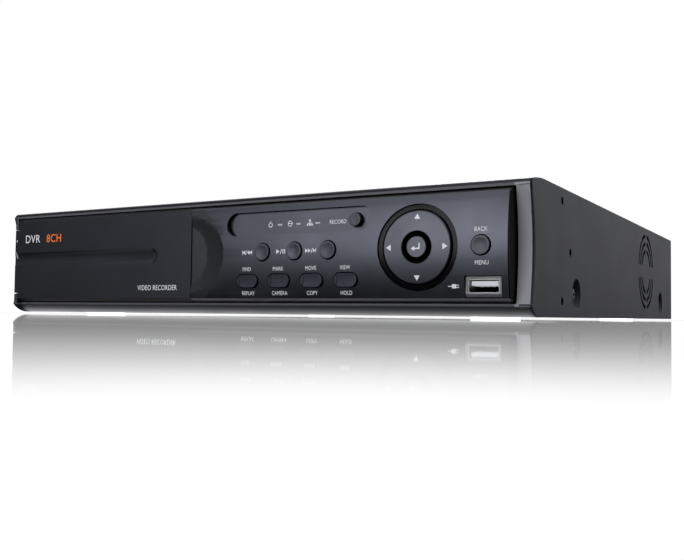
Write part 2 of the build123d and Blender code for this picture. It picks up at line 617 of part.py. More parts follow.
def make_control_panel():
    """Bulged key panel with bevelled edges, a finger scoop beside the door and its openings."""
    edges = [
        ThreePointArc((PANEL_EDGE_Y, FACE_LOW), (PANEL_MID_Y, MID_Z), (PANEL_EDGE_Y, FACE_HIGH)),
        Line((PANEL_EDGE_Y, FACE_HIGH), (0, PANEL_HIGH)),
        Line((0, PANEL_HIGH), (RECESS_BACK, PANEL_HIGH)),
        Line((RECESS_BACK, PANEL_HIGH), (RECESS_BACK, PANEL_LOW)),
        Line((RECESS_BACK, PANEL_LOW), (0, PANEL_LOW)),
        Line((0, PANEL_LOW), (PANEL_EDGE_Y, FACE_LOW)),
    ]
    panel = slab_x(edges, PANEL_LEFT, PANEL_RIGHT + PANEL_SLANT)
    slant = Plane.XY * make_face(
        Polyline(
            (PANEL_RIGHT, PANEL_MID_Y - 1),
            (PANEL_RIGHT + PANEL_SLANT, 0),
            (PANEL_RIGHT + PANEL_SLANT + 3, 0),
            (PANEL_RIGHT + PANEL_SLANT + 3, PANEL_MID_Y - 1),
            close=True,
        )
    )
    panel -= extrude(slant, HEIGHT)
    scoop_y = panel_y(MID_Z) + 0.75
    centre_y = scoop_y - sqrt(SCOOP_SPHERE**2 - SCOOP_R**2)
    scoop = Pos(SCOOP_X, centre_y, MID_Z) * Sphere(SCOOP_SPHERE)
    scoop &= block(PANEL_LEFT - 1, PANEL_LEFT + 60, -30, DOOR_FACE, 0, HEIGHT)
    panel -= scoop
    hollow_low, hollow_high = FACE_LOW + 1.5, FACE_HIGH - 1.5
    split_x = WINDOW_LEFT - 2.0
    panel -= bulge(PANEL_WALL, hollow_low, hollow_high, RECESS_BACK + 1, split_x, PANEL_RIGHT - 2.0)
    panel -= block(PANEL_LEFT + 2, split_x - 2, DOOR_FACE + 2.1, RECESS_BACK + 1, hollow_low, hollow_high)
    panel -= capsule_y(WINDOW_LEFT, WINDOW_RIGHT, WINDOW_Z, WINDOW_R, -10, 0)
    for x, z in ROUND_PLACES:
        panel -= rod_y(ROUND_R + KEY_GAP, x, z, -10, 0)
    for x, z in OVAL_PLACES:
        half = OVAL_LENGTH / 2 + KEY_GAP
        panel -= capsule_y(x - half, x + half, z, OVAL_HEIGHT / 2 + KEY_GAP, -10, 0)
    panel -= rod_y(RING_OUT, PAD_X, MID_Z, -10, 0)
    wide, high = USB_PLATE
    panel -= block(
        USB_X - wide / 2 - 0.25, USB_X + wide / 2 + 0.25, -10, RECESS_BACK + 1, USB_Z - high / 2 - 0.25,
        USB_Z + high / 2 + 0.25,
    )
    return panel


def make_status_window():
    """Flat capsule plate set back in the panel, with openings for three lights and one key."""
    plate = capsule_y(WINDOW_LEFT + 0.1, WINDOW_RIGHT - 0.1, WINDOW_Z, WINDOW_R - 0.1, WINDOW_FACE, -0.9)
    plate += capsule_y(WINDOW_LEFT - 1, WINDOW_RIGHT + 1, WINDOW_Z, WINDOW_R + 1, -1.0, 0)
    for x in LED_X:
        plate -= block(x - 1.25, x + 1.25, -3, 1, WINDOW_Z - 1.15, WINDOW_Z - 0.25)
    return plate - rod_y(RECORD_R + 0.3, RECORD_X, WINDOW_Z - 0.4, -3, 1)


def make_light_pipes():
    """Three clear bars from the board's lamps to the window."""
    return group(
        [block(x - 1.2, x + 1.2, WINDOW_FACE, 6.6, WINDOW_Z - 1.1, WINDOW_Z - 0.3) for x in LED_X]
    )


def make_round_key(x, z, radius, face, flange_y):
    """Round key: dished cap with a rounded rim, a flange behind the panel and a stem."""
    cap = rod_y(radius, x, z, face, flange_y + 0.1)
    rim = cap.edges().filter_by(GeomType.CIRCLE).sort_by(Axis.Y)[0]
    cap = fillet(rim, 0.35)
    dish_r = 14.0
    dish_edge = radius - 0.75
    cap -= Pos(x, face - sqrt(dish_r**2 - dish_edge**2), z) * Sphere(dish_r)
    key = cap + rod_y(radius + FLANGE_RIM, x, z, flange_y, flange_y + FLANGE_THICK)
    return key + rod_y(STEM_R, x, z, flange_y, STEM_END)


def make_oval_key(x, z):
    """Oval key with a softly dished face."""
    half = OVAL_LENGTH / 2
    face = panel_y(z) - KEY_PROUD + 0.3
    cap = capsule_y(x - half, x + half, z, OVAL_HEIGHT / 2, face, FLANGE_Y + 0.1)
    rim = cap.faces().sort_by(Axis.Y)[0].edges()
    cap = fillet(rim, 0.35)
    cap -= Pos(x, face - 29.75, z) * Rot(0, 90, 0) * Cylinder(30.0, OVAL_LENGTH - 3.4)
    wide = half + FLANGE_RIM
    key = cap + capsule_y(x - wide, x + wide, z, OVAL_HEIGHT / 2 + FLANGE_RIM, FLANGE_Y, FLANGE_Y + FLANGE_THICK)
    return key + rod_y(STEM_R, x, z, FLANGE_Y, STEM_END)


def make_dpad_outer_ring():
    """Gloss ring seated in the panel round the pad, with a hollow face."""
    ring = tube_y(RING_OUT - 0.05, RING_IN, PAD_X, MID_Z, -10, 0.6)
    ring &= bulge(RING_DROP, FACE_LOW + 0.3, FACE_HIGH - 0.3, 1, PAD_X - 30, PAD_X + 30)
    seat = tube_y(RING_OUT + 0.6, RING_IN, PAD_X, MID_Z, 0.0, 1.2)
    return ring + seat


def make_dpad_rocker():
    """Four-way pad: bulged disc with a soft edge and a stepped bore for the enter key."""
    pad = rod_y(PAD_R, PAD_X, MID_Z, -10, PAD_BACK)
    pad &= bulge(-0.25, RECESS_LOW, RECESS_HIGH, 1, PAD_X - 30, PAD_X + 30)
    rim = [e for e in pad.edges() if e.length > 40 and e.center().Y < PAD_BACK - 1.0]
    pad = fillet(rim, 0.7)
    pad -= rod_y(PAD_GROOVE_R, PAD_X, MID_Z, -10, PAD_BACK + 1)
    collar = tube_y(PAD_GROOVE_R + 2, PAD_GROOVE_R, PAD_X, MID_Z, PAD_BACK - 0.5, -0.6)
    bosses = [
        rod_y(1.4, x, z, PAD_BACK - 0.5, SWITCH_TIP_Y - 1.1) for x, z in PAD_SWITCHES
    ]
    return pad + collar + bosses


def make_dpad_inner_ring():
    """Gloss conical ring pressed in the pad's bore round the enter key."""
    face = panel_y(MID_Z) - 0.1
    ring = rod_y(PAD_GROOVE_R, PAD_X, MID_Z, face, -0.6)
    ring -= cone_y(PAD_GROOVE_R - 0.25, ENTER_HOLE, PAD_X, MID_Z, face - 0.01, face + 2.2)
    return ring - rod_y(ENTER_HOLE, PAD_X, MID_Z, -10, 1)


def make_gimbal():
    """Collar behind the pad that lets it tip about two axes."""
    return tube_y(PAD_GROOVE_R + 1.9, ENTER_HOLE + 0.9, PAD_X, MID_Z, 0.0, 1.4)


def make_enter_key():
    """Round centre key with its long stem."""
    face = panel_y(MID_Z) - 0.35
    cap = rod_y(ENTER_R, PAD_X, MID_Z, face, -1.0)
    rim = cap.edges().filter_by(GeomType.CIRCLE).sort_by(Axis.Y)[0]
    cap = fillet(rim, 0.5)
    return cap + rod_y(STEM_R, PAD_X, MID_Z, -1.2, STEM_END)


def make_usb_surround():
    """Light plate round the USB socket, bevelled along its foot."""
    wide, high = USB_PLATE
    plate = block(USB_X - wide / 2, USB_X + wide / 2, USB_PLATE_FACE, RECESS_BACK, USB_Z - high / 2, USB_Z + high / 2)
    foot = [e for e in plate.edges().filter_by(Axis.X) if e.center().Y < USB_PLATE_FACE + 0.1]
    plate = chamfer(ShapeList(foot).sort_by(Axis.Z)[0], 1.1)
    shell_w, shell_h = USB_SHELL
    return plate - plate_y(USB_X, USB_Z + 0.3, shell_w + 0.1, shell_h + 0.1, 0.7, -9, 9)


def make_usb_shell():
    """Pressed steel socket shell."""
    wide, high = USB_SHELL
    z = USB_Z + 0.3
    shell = plate_y(USB_X, z, wide, high, 0.6, USB_PLATE_FACE + 0.4, USB_PLATE_FACE + 0.4 + USB_DEPTH)
    return shell - plate_y(USB_X, z, wide - 0.6, high - 0.6, 0.4, -9, USB_PLATE_FACE + USB_DEPTH - 1.0)


def make_usb_tongue():
    """Insulating tongue with four contacts' ribs on its underside."""
    wide, high = USB_SHELL
    z = USB_Z + 0.3
    y0, y1 = USB_PLATE_FACE + 1.6, USB_PLATE_FACE + USB_DEPTH - 1.0
    tongue = block(USB_X - 5.5, USB_X + 5.5, y0, y1, z + 0.2, z + 1.95)
    for i in range(4):
        x = USB_X - 3.75 + 2.5 * i
        tongue += block(x - 0.5, x + 0.5, y0 + 0.6, y1, z - 0.05, z + 0.25)
    return tongue


# ---------------------------------------------------------------- front board
def make_front_board():
    """Key board behind the bezel's back wall."""
    left = OVAL_X - 12
    board = block(left, PANEL_RIGHT - 1, FRONT_BOARD_Y, FRONT_BOARD_Y + BOARD_THICK, RECESS_LOW + 1, RECESS_HIGH - 2)
    shell_w, shell_h = USB_SHELL
    z = USB_Z + 0.3
    return board - block(USB_X - shell_w / 2 - 0.4, USB_X + shell_w / 2 + 0.4, 5, 15, z - 3.3, z + 3.3)


def make_tact_switches():
    """Key switches on the front board, drawn with their plungers pressed home."""
    switches = []
    for x, z in SWITCH_PLACES:
        zed = z - 0.4 if (x, z) == (RECORD_X, WINDOW_Z) else z
        body = block(x - 3, x + 3, 5.5, FRONT_BOARD_Y, zed - 3, zed + 3)
        switches.append(body + rod_y(1.6, x, zed, SWITCH_TIP_Y, 5.6))
    return group(switches)


def make_status_leds():
    """Three lamps on the front board behind the light pipes."""
    return group([block(x - 1, x + 1, 6.8, FRONT_BOARD_Y, WINDOW_Z - 1.2, WINDOW_Z - 0.2) for x in LED_X])


def flat_cable(points, radius, wide, thick, x):
    """Flat cable along a (Y, Z) path with rounded corners, wide along X."""
    path = Plane.YZ * FilletPolyline(*points, radius=radius)
    start = path @ 0
    section = Plane(origin=start, z_dir=path % 0, x_dir=(1, 0, 0)) * Rectangle(wide, thick)
    return Pos(x, 0, 0) * sweep(section, path)


RIBBON_X = HDD_RIGHT - HDD_SIZE[0] - 14.0


def make_ribbon_cable():
    """Flat cable and its two plugs between the key board and the main board."""
    front_y = FRONT_BOARD_Y + BOARD_THICK
    plug_z = 12.0
    points = [(front_y + 4, plug_z), (front_y + 14, plug_z), (front_y + 24, 5.5), (BOARD_FRONT - 18, 5.5)]
    points += [(BOARD_FRONT - 4, 15.0), (BOARD_FRONT + 8, 15.0)]
    cable = flat_cable(points, 5.0, 16.0, 0.9, RIBBON_X)
    plugs = [
        block(RIBBON_X - 9, RIBBON_X + 9, front_y, front_y + 4.5, plug_z - 3, plug_z + 3),
        block(RIBBON_X - 9, RIBBON_X + 9, BOARD_FRONT + 7.5, BOARD_FRONT + 12, BOARD_TOP, BOARD_TOP + 7.5),
    ]
    return cable + plugs


# ---------------------------------------------------------------- main board
BOARD_HOLES = [
    (x, y)
    for x in (BOARD_LEFT + 5, 0.0, BOARD_RIGHT - 12)
    for y in (BOARD_FRONT + 5, BOARD_FRONT + 62)
]


def make_main_board():
    """Main circuit board on its standoffs."""
    board = block(BOARD_LEFT, BOARD_RIGHT, BOARD_FRONT, BOARD_REAR, BOARD_TOP - BOARD_THICK, BOARD_TOP)
    for x, y in BOARD_HOLES:
        board -= rod_z(SCREW_R + 0.1, x, y, 0, 20)
    return board


def make_standoffs():
    """Hexagonal brass standoffs between the pan and the main board."""
    posts = []
    for x, y in BOARD_HOLES:
        post = Pos(x, y, SHEET) * extrude(RegularPolygon(3.0, 6), BOARD_TOP - BOARD_THICK - SHEET)
        posts.append(post - rod_z(SCREW_R, x, y, SHEET + 2, 12))
    return group(posts)


def screw_z(x, y, seat, length, up=1):
    """Plain pan-head screw along Z with its head's seat at the given height."""
    head = rod_z(HEAD_R, x, y, seat, seat + up * HEAD_HIGH)
    return head + rod_z(SCREW_R, x, y, seat - up * length, seat)


HDD_LEFT = HDD_RIGHT - HDD_SIZE[0]
HDD_HOLES = [(x, HDD_FRONT + 30 + 60 * i) for i in (0, 1) for x in (HDD_LEFT + 3.2, HDD_RIGHT - 3.2)]


def make_inner_screws():
    """Screws of the main board, the hard drive and the fan."""
    screws = [screw_z(x, y, BOARD_TOP, 5.0) for x, y in BOARD_HOLES]
    screws += [screw_z(x, y, HDD_LOW - BRACKET_LIFT, BRACKET_LIFT + 3, up=-1) for x, y in HDD_HOLES]
    for y, z in FAN_HOLES:
        inner = PAN_OUT - SHEET - FAN_THICK
        head = rod_x(HEAD_R, y, z, inner - HEAD_HIGH, inner)
        screws.append(head + rod_x(SCREW_R, y, z, inner, PAN_OUT - 0.1))
    return group(screws)


BRACKET_LIFT = 1.0


def make_drive_bracket():
    """Folded sheet tray that carries the hard drive clear of the floor."""
    y0, y1 = HDD_FRONT + 20, HDD_FRONT + HDD_SIZE[1] - 20
    tray = block(HDD_LEFT - 1, HDD_RIGHT + 1, y0, y1, HDD_LOW - BRACKET_LIFT, HDD_LOW)
    for side, x in ((-1, HDD_LEFT), (1, HDD_RIGHT)):
        tray += block(x, x + side * 10, y0, y1, SHEET, SHEET + 1.0)
        tray += block(x, x + side, y0, y1, SHEET, HDD_LOW)
    for x, y in HDD_HOLES:
        tray -= rod_z(SCREW_R, x, y, 0, HDD_LOW + 1)
    return tray - block(HDD_LEFT + 12, HDD_RIGHT - 12, y0 + 14, y1 - 14, 0, HDD_LOW + 1)


def make_hard_drive():
    """Three and a half inch hard drive: body, stepped lid and connector recess."""
    wide, deep, high = HDD_SIZE
    body = block(HDD_LEFT, HDD_RIGHT, HDD_FRONT, HDD_FRONT + deep, HDD_LOW, HDD_LOW + high - 3)
    body = fillet(body.edges().filter_by(Axis.Z), 3.0)
    lid = block(
        HDD_LEFT + 3, HDD_RIGHT - 3, HDD_FRONT + 3, HDD_FRONT + deep - 3, HDD_LOW + high - 4, HDD_LOW + high
    )
    body += fillet(lid.edges().filter_by(Axis.Z), 8.0)
    body -= block(HDD_LEFT + 20, HDD_LEFT + 58, HDD_FRONT + deep - 4, HDD_FRONT + deep + 1, HDD_LOW - 1, HDD_LOW + 7)
    for x, y in HDD_HOLES:
        body -= rod_z(SCREW_R, x, y, HDD_LOW - 1, HDD_LOW + 4)
    return body


SOC_X = -20.0
SOC_Y = BOARD_FRONT + 40.0
CELL_X = 30.0
CELL_Y = BOARD_FRONT + 26.0
SATA_X = HDD_LEFT + 30.0


def make_heatsink():
    """Finned cooler on the main processor."""
    sink = block(SOC_X - 20, SOC_X + 20, SOC_Y - 20, SOC_Y + 20, BOARD_TOP + 2.2, BOARD_TOP + 5.0)
    for i in range(9):
        x = SOC_X - 19.3 + i * 4.65
        sink += block(x, x + 1.4, SOC_Y - 20, SOC_Y + 20, BOARD_TOP + 4.9, BOARD_TOP + 15.0)
    return sink


def make_chips():
    """Processor, video decoders, memory and smaller packages on the main board."""
    top = BOARD_TOP
    chips = [block(SOC_X - 15, SOC_X + 15, SOC_Y - 15, SOC_Y + 15, top, top + 2.2)]
    chips += [block(x - 7, x + 7, BOARD_REAR - 46, BOARD_REAR - 32, top, top + 1.4) for x in BNC_X]
    for i in range(4):
        y = SOC_Y - 24 + 15 * i
        chips.append(block(SOC_X - 42, SOC_X - 30, y, y + 10, top, top + 1.1))
    chips.append(block(LAN_X - 16, LAN_X + 6, BOARD_REAR - 44, BOARD_REAR - 34, top, top + 5.5))
    chips.append(block(CELL_X + 26, CELL_X + 36, CELL_Y - 5, CELL_Y + 5, top, top + 1.6))
    return group(chips)


def make_capacitors():
    """Electrolytic capacitors and a choke near the power inlet."""
    cans = []
    for i in range(5):
        x = JACK_X + 10.0 * i - 2
        can = rod_z(4.0, x, BOARD_REAR - 32.0, BOARD_TOP, BOARD_TOP + 11.5)
        cans.append(fillet(can.edges().filter_by(GeomType.CIRCLE).sort_by(Axis.Z)[-1], 0.5))
    cans.append(block(JACK_X + 6, JACK_X + 18, BOARD_REAR - 56, BOARD_REAR - 44, BOARD_TOP, BOARD_TOP + 7))
    return group(cans)


def make_cell_holder():
    """Holder of the clock's coin cell."""
    holder = rod_z(11.6, CELL_X, CELL_Y, BOARD_TOP, BOARD_TOP + 4.2)
    holder -= rod_z(10.1, CELL_X, CELL_Y, BOARD_TOP + 0.8, BOARD_TOP + 6)
    holder -= block(CELL_X - 6, CELL_X + 6, CELL_Y + 8, CELL_Y + 13, BOARD_TOP + 2.4, BOARD_TOP + 6)
    return holder


def make_coin_cell():
    """Coin cell, 20 mm across and 3.2 mm thick."""
    return rod_z(10.0, CELL_X, CELL_Y, BOARD_TOP + 0.8, BOARD_TOP + 4.0)


def make_sata_cables():
    """Flat drive leads from the hard drive and the disc drive to the main board."""
    drive_end = HDD_FRONT + HDD_SIZE[1]
    plug_z = HDD_LOW + 3.5
    low = [(drive_end + 5, plug_z), (drive_end + 8, plug_z), (BOARD_FRONT - 4, 16.5), (BOARD_FRONT + 3, 16.5)]
    leads = [
        flat_cable(low, 1.2, 8.0, 1.6, SATA_X - 2)
        + block(SATA_X - 7, SATA_X + 3, drive_end - 3.5, drive_end + 5.5, plug_z - 3, plug_z + 3)
        + block(SATA_X - 7, SATA_X + 3, BOARD_FRONT + 2.5, BOARD_FRONT + 10, BOARD_TOP, BOARD_TOP + 8)
    ]
    odd_end = ODD_FRONT + ODD_SIZE[1]
    odd_z = ODD_LOW + 6.0
    x = ODD_LEFT + 90.0
    high = [(odd_end + 5, odd_z), (odd_end + 30, odd_z), (odd_end + 48, 16.5), (BOARD_FRONT + 3, 16.5)]
    leads.append(
        flat_cable(high, 12.0, 10.0, 1.6, x)
        + block(x - 8, x + 8, odd_end, odd_end + 5.5, odd_z - 3, odd_z + 3)
        + block(x - 8, x + 8, BOARD_FRONT + 2.5, BOARD_FRONT + 10, BOARD_TOP, BOARD_TOP + 8)
    )
    return group(leads)


# ---------------------------------------------------------------- disc drive
EJECT_X = ODD_LEFT + ODD_SIZE[0] - 14.0
ODD_BEZEL_Y = 4.4


def make_optical_drive():
    """Slim slot-loading disc drive and its two support legs."""
    wide, deep, high = ODD_SIZE
    left = ODD_LEFT + 1.5
    drive = block(left, left + wide - 3, ODD_FRONT, ODD_FRONT + deep, ODD_LOW, ODD_LOW + high)
    drive -= block(left + 3, left + wide - 6, ODD_FRONT - 1, ODD_FRONT + 122, ODD_LOW + 5, ODD_LOW + 8.6)
    inside = (ODD_FRONT + 7, ODD_FRONT + deep - ODD_WALL, ODD_LOW + ODD_WALL, ODD_LOW + high - ODD_WALL)
    drive -= block(left + ODD_WALL, left + wide - 3 - ODD_WALL, *inside)
    for x in (left + 4, left + wide - 12):
        for y in (ODD_FRONT + 22, ODD_FRONT + deep - 12):
            drive += block(x, x + 5, y, y + 8, SHEET, ODD_LOW + 0.5)
    drive -= block(EJECT_X - 4.5, EJECT_X + 4.5, ODD_FRONT - 1, ODD_FRONT + 6, ODD_LOW + 0.7, ODD_LOW + 4.4)
    return drive


def make_optical_bezel():
    """Front of the disc drive with the disc slot and the eject key's opening."""
    wide, _, high = ODD_SIZE
    left, right = ODD_LEFT + 3.2, ODD_LEFT + wide - 1.7
    face = block(left, right, ODD_BEZEL_Y, ODD_FRONT, ODD_LOW, ODD_LOW + high)
    face = chamfer(face.edges().filter_by(Axis.X).sort_by(Axis.Y)[:2], 0.6)
    face -= capsule_y(left + 1.2, right - 2.5, ODD_LOW + 7.0, 1.2, 0, 20)
    return face - plate_y(EJECT_X, ODD_LOW + 2.6, 8.2, 2.6, 0.5, 0, 20)


def make_eject_key():
    """Small bar key under the disc slot."""
    key = plate_y(EJECT_X, ODD_LOW + 2.6, 7.6, 2.0, 0.4, ODD_BEZEL_Y - 0.6, ODD_FRONT + 3)
    return key


# ---------------------------------------------------------------- fan
def make_fan_frame():
    """Square fan housing with a round bore, corner holes and a motor spider."""
    x0, x1 = PAN_OUT - SHEET - FAN_THICK, PAN_OUT - SHEET
    half = FAN_SIZE / 2
    frame = block(x0, x1, FAN_Y - half, FAN_Y + half, FAN_Z - half, FAN_Z + half)
    frame = fillet(frame.edges().filter_by(Axis.X), 3.0)
    frame -= rod_x(FAN_BORE_R, FAN_Y, FAN_Z, x0 - 1, x1 + 1)
    for y, z in FAN_HOLES:
        frame -= rod_x(SCREW_R, y, z, x0 - 1, x1 + 1)
    spider = rod_x(FAN_HUB_R, FAN_Y, FAN_Z, x0, x0 + 2.0)
    for angle in (45, 165, 285):
        arm = block(x0, x0 + 2.0, -1.2, 1.2, 0, FAN_BORE_R + 0.6)
        spider += Pos(0, FAN_Y, FAN_Z) * Rot(angle, 0, 0) * arm
    frame += spider
    return frame + rod_x(2.0, FAN_Y, FAN_Z, x0 + 1.0, x0 + 8.0)


FAN_AXIS_X = PAN_OUT - SHEET - FAN_THICK / 2


def make_fan_rotor():
    """Seven pitched blades on a hub that turns on the housing's post."""
    x0, x1 = PAN_OUT - SHEET - FAN_THICK + 2.6, PAN_OUT - SHEET - 0.8
    rotor = rod_x(FAN_HUB_R, FAN_Y, FAN_Z, x0, x1)
    rotor = fillet(rotor.edges().filter_by(GeomType.CIRCLE).sort_by(Axis.X)[-1], 1.0)
    rotor -= rod_x(2.05, FAN_Y, FAN_Z, x0 - 1, x0 + 6.0)
    mid = (x0 + x1) / 2
    blades = []
    for i in range(7):
        root = Plane(origin=(0, 0, FAN_HUB_R - 1.0), z_dir=(0, 0, 1)) * Rot(0, 0, 42) * Rectangle(13.0, 1.4)
        tip = Plane(origin=(0, 0, FAN_TIP_R + 1.5), z_dir=(0, 0, 1)) * Rot(0, 0, 58) * Rectangle(17.0, 1.0)
        blade = loft([root, tip])
        blades.append(Pos(mid, FAN_Y, FAN_Z) * Rot(360 / 7 * i, 0, 0) * blade)
    swept = rod_x(FAN_TIP_R, FAN_Y, FAN_Z, x0 + 0.2, x1 - 0.2)
    return rotor + [blade & swept for blade in blades]


# ---------------------------------------------------------------- rear connectors
def make_bnc_shells():
    """Video jacks: bayonet barrel with two lugs, flange, and a square body on the board."""
    jacks = []
    mouth_y = REAR_FACE + BNC_LENGTH
    nose_y = mouth_y - BNC_NOSE
    for x, z in BNC_PLACES:
        jack = rod_y(BNC_R, x, z, REAR_FACE - 0.5, nose_y)
        jack += rod_y(BNC_NOSE_R, x, z, nose_y - 0.1, mouth_y)
        jack += rod_y(BNC_R + 1.5, x, z, REAR_FACE - 4, REAR_FACE + 1.4)
        jack += rod_x(BNC_LUG_R, nose_y - BNC_LUG_R - 0.2, z, x - BNC_NOSE_R - 0.9, x + BNC_NOSE_R + 0.9)
        jack -= rod_y(BNC_NOSE_R - 0.7, x, z, REAR_FACE + 2, mouth_y + 1)
        jacks.append(jack)
    return group(jacks)


def make_bnc_insulators():
    """White core and contact tube inside each video jack."""
    cores = []
    for x, z in BNC_PLACES:
        core = rod_y(2.4, x, z, REAR_FACE + 2, REAR_FACE + BNC_LENGTH - 2.5)
        cores.append(core - rod_y(0.7, x, z, REAR_FACE + 5, REAR_FACE + BNC_LENGTH))
    return group(cores)


def make_bnc_bodies():
    """Moulded bodies that carry the video jacks on the board, one per column."""
    bodies = []
    for x in BNC_X + [BNC_OUT_X]:
        top = BNC_Z[1] + 8 if x != BNC_OUT_X else BNC_Z[0] + 8
        bodies.append(block(x - 8, x + 8, BOARD_REAR - 20, REAR_FACE - 4, BOARD_TOP, top))
    return group(bodies)


def make_audio_jacks():
    """Audio sockets: metal sleeve with a flange."""
    jacks = []
    for x, z in RCA_PLACES:
        jack = rod_y(RCA_R, x, z, REAR_FACE, REAR_FACE + RCA_LENGTH)
        jack += rod_y(RCA_R + 0.5, x, z, REAR_FACE - 3, REAR_FACE + 1.0)
        jacks.append(jack - rod_y(RCA_R - 0.5, x, z, REAR_FACE - 4, REAR_FACE + RCA_LENGTH + 1))
    return group(jacks)


def make_audio_cores():
    """Insulating cores of the audio sockets with their bodies on the board."""
    cores = []
    for x, z in RCA_PLACES:
        core = rod_y(RCA_R - 0.6, x, z, REAR_FACE - 3, REAR_FACE + RCA_LENGTH - 1.0)
        cores.append(core - rod_y(1.6, x, z, REAR_FACE, REAR_FACE + RCA_LENGTH))
    for x in RCA_X + [RCA_OUT_X]:
        top = RCA_Z[1] + 6 if x != RCA_OUT_X else RCA_Z[0] + 6
        cores.append(block(x - 6, x + 6, REAR_FACE - 18, REAR_FACE - 3.05, BOARD_TOP, top))
    return group(cores)


def make_vga_port():
    """Fifteen-hole display socket: shell, flange, body and two hexagonal posts."""
    face = REAR_FACE
    shell = plate_y(VGA_X, VGA_Z, 16.8, 8.4, 1.8, face - 1, face + 5.5)
    shell -= plate_y(VGA_X, VGA_Z, 16.0, 7.6, 1.5, face + 4.6, face + 7)
    shell += block(VGA_X - 15.5, VGA_X + 15.5, face - 3.0, face - SHEET, BOARD_TOP, BOARD_TOP + 12.5)
    shell += block(VGA_X - 15.5, VGA_X + 15.5, face - 14, face - 2.9, BOARD_TOP, BOARD_TOP + 8)
    for side in (-1, 1):
        post = Pos(VGA_X + side * 12.5, face - 1, VGA_Z) * Rot(-90, 0, 0) * extrude(RegularPolygon(2.4, 6), 6.0)
        shell += post
        shell -= rod_y(1.2, VGA_X + side * 12.5, VGA_Z, face, face + 8)
    return shell


def make_vga_insert():
    """Moulded face of the display socket with its fifteen holes."""
    face = REAR_FACE
    insert = plate_y(VGA_X, VGA_Z, 15.9, 7.5, 1.4, face + 4.6, face + 5.3)
    for row in range(3):
        for i in range(5):
            x = VGA_X - 4.6 + 2.3 * i + (row % 2) * 1.1 - 0.5
            insert -= rod_y(0.45, x, VGA_Z - 2.0 + 2.0 * row, face + 4.0, face + 6)
    return insert


def make_hdmi_port():
    """Digital display socket with its tongue."""
    face = REAR_FACE
    port = plate_y(HDMI_X, HDMI_Z, 15.0, 5.6, 1.0, face - 15, face + 0.8)
    port -= plate_y(HDMI_X, HDMI_Z, 14.2, 4.8, 0.8, face - 9, face + 2)
    port += block(HDMI_X - 5.8, HDMI_X + 5.8, face - 9.5, face - 0.4, HDMI_Z - 0.5, HDMI_Z + 0.6)
    riser = block(HDMI_X - 8, HDMI_X + 8, face - 16.2, face - 14.5, BOARD_TOP, HDMI_Z + 3)
    return port + riser


LAN_HIGH = 13.2
LAN_CAVITY = (11.8, 8.4, 13.0)  # wide, high, deep


def make_network_port():
    """Network socket with a stepped cavity for the plug and its latch."""
    face = REAR_FACE + 0.6
    z0 = BOARD_TOP
    port = block(LAN_X - 8, LAN_X + 8, face - 20, face, z0, z0 + LAN_HIGH)
    wide, high, deep = LAN_CAVITY
    port -= block(LAN_X - wide / 2, LAN_X + wide / 2, face - deep, face + 1, z0 + 1.2, z0 + 1.2 + high)
    port -= block(LAN_X - 3.1, LAN_X + 3.1, face - 9, face + 1, z0 + 9.5, z0 + 12.2)
    return port


def make_terminal_block():
    """Alarm and control terminals: wire holes below, screw wells above."""
    half = BLOCK_WAYS * BLOCK_PITCH / 2
    body = block(BLOCK_X - half, BLOCK_X + half, REAR_FACE - 12, REAR_FACE + 4.0, BOARD_TOP, BOARD_TOP + 9.0)
    for i in range(BLOCK_WAYS):
        x = BLOCK_X - half + BLOCK_PITCH * (i + 0.5)
        body -= block(x - 1.25, x + 1.25, REAR_FACE - 3, REAR_FACE + 5, BOARD_TOP + 1.4, BOARD_TOP + 4.2)
        body -= rod_y(1.2, x, BOARD_TOP + 6.6, REAR_FACE + 2.4, REAR_FACE + 5)
        body += rod_y(1.15, x, BOARD_TOP + 6.6, REAR_FACE + 2.2, REAR_FACE + 3.0)
    return body


def make_power_jack():
    """Low-voltage inlet with its centre pin."""
    jack = rod_y(4.4, JACK_X, JACK_Z, REAR_FACE - 3, REAR_FACE + 1.2)
    jack += block(JACK_X - 4.5, JACK_X + 4.5, REAR_FACE - 14, REAR_FACE - SHEET - 0.1, BOARD_TOP, BOARD_TOP + 11)
    jack -= rod_y(2.9, JACK_X, JACK_Z, REAR_FACE - 9, REAR_FACE + 2)
    return jack + rod_y(1.05, JACK_X, JACK_Z, REAR_FACE - 10, REAR_FACE - 0.2)


def make_earth_screw():
    """Earthing screw on the rear panel."""
    return cap_screw_y(EARTH_X, EARTH_Z, REAR_FACE, 4.0)


TRIM = make_trim_frame()
ROUND_FACE = panel_y(MID_Z) - KEY_PROUD
ROUND_NAMES = ("rewind_button", "play_button", "forward_button", "menu_button")
OVAL_NAMES = ("find_button", "mark_button", "move_button", "view_button")

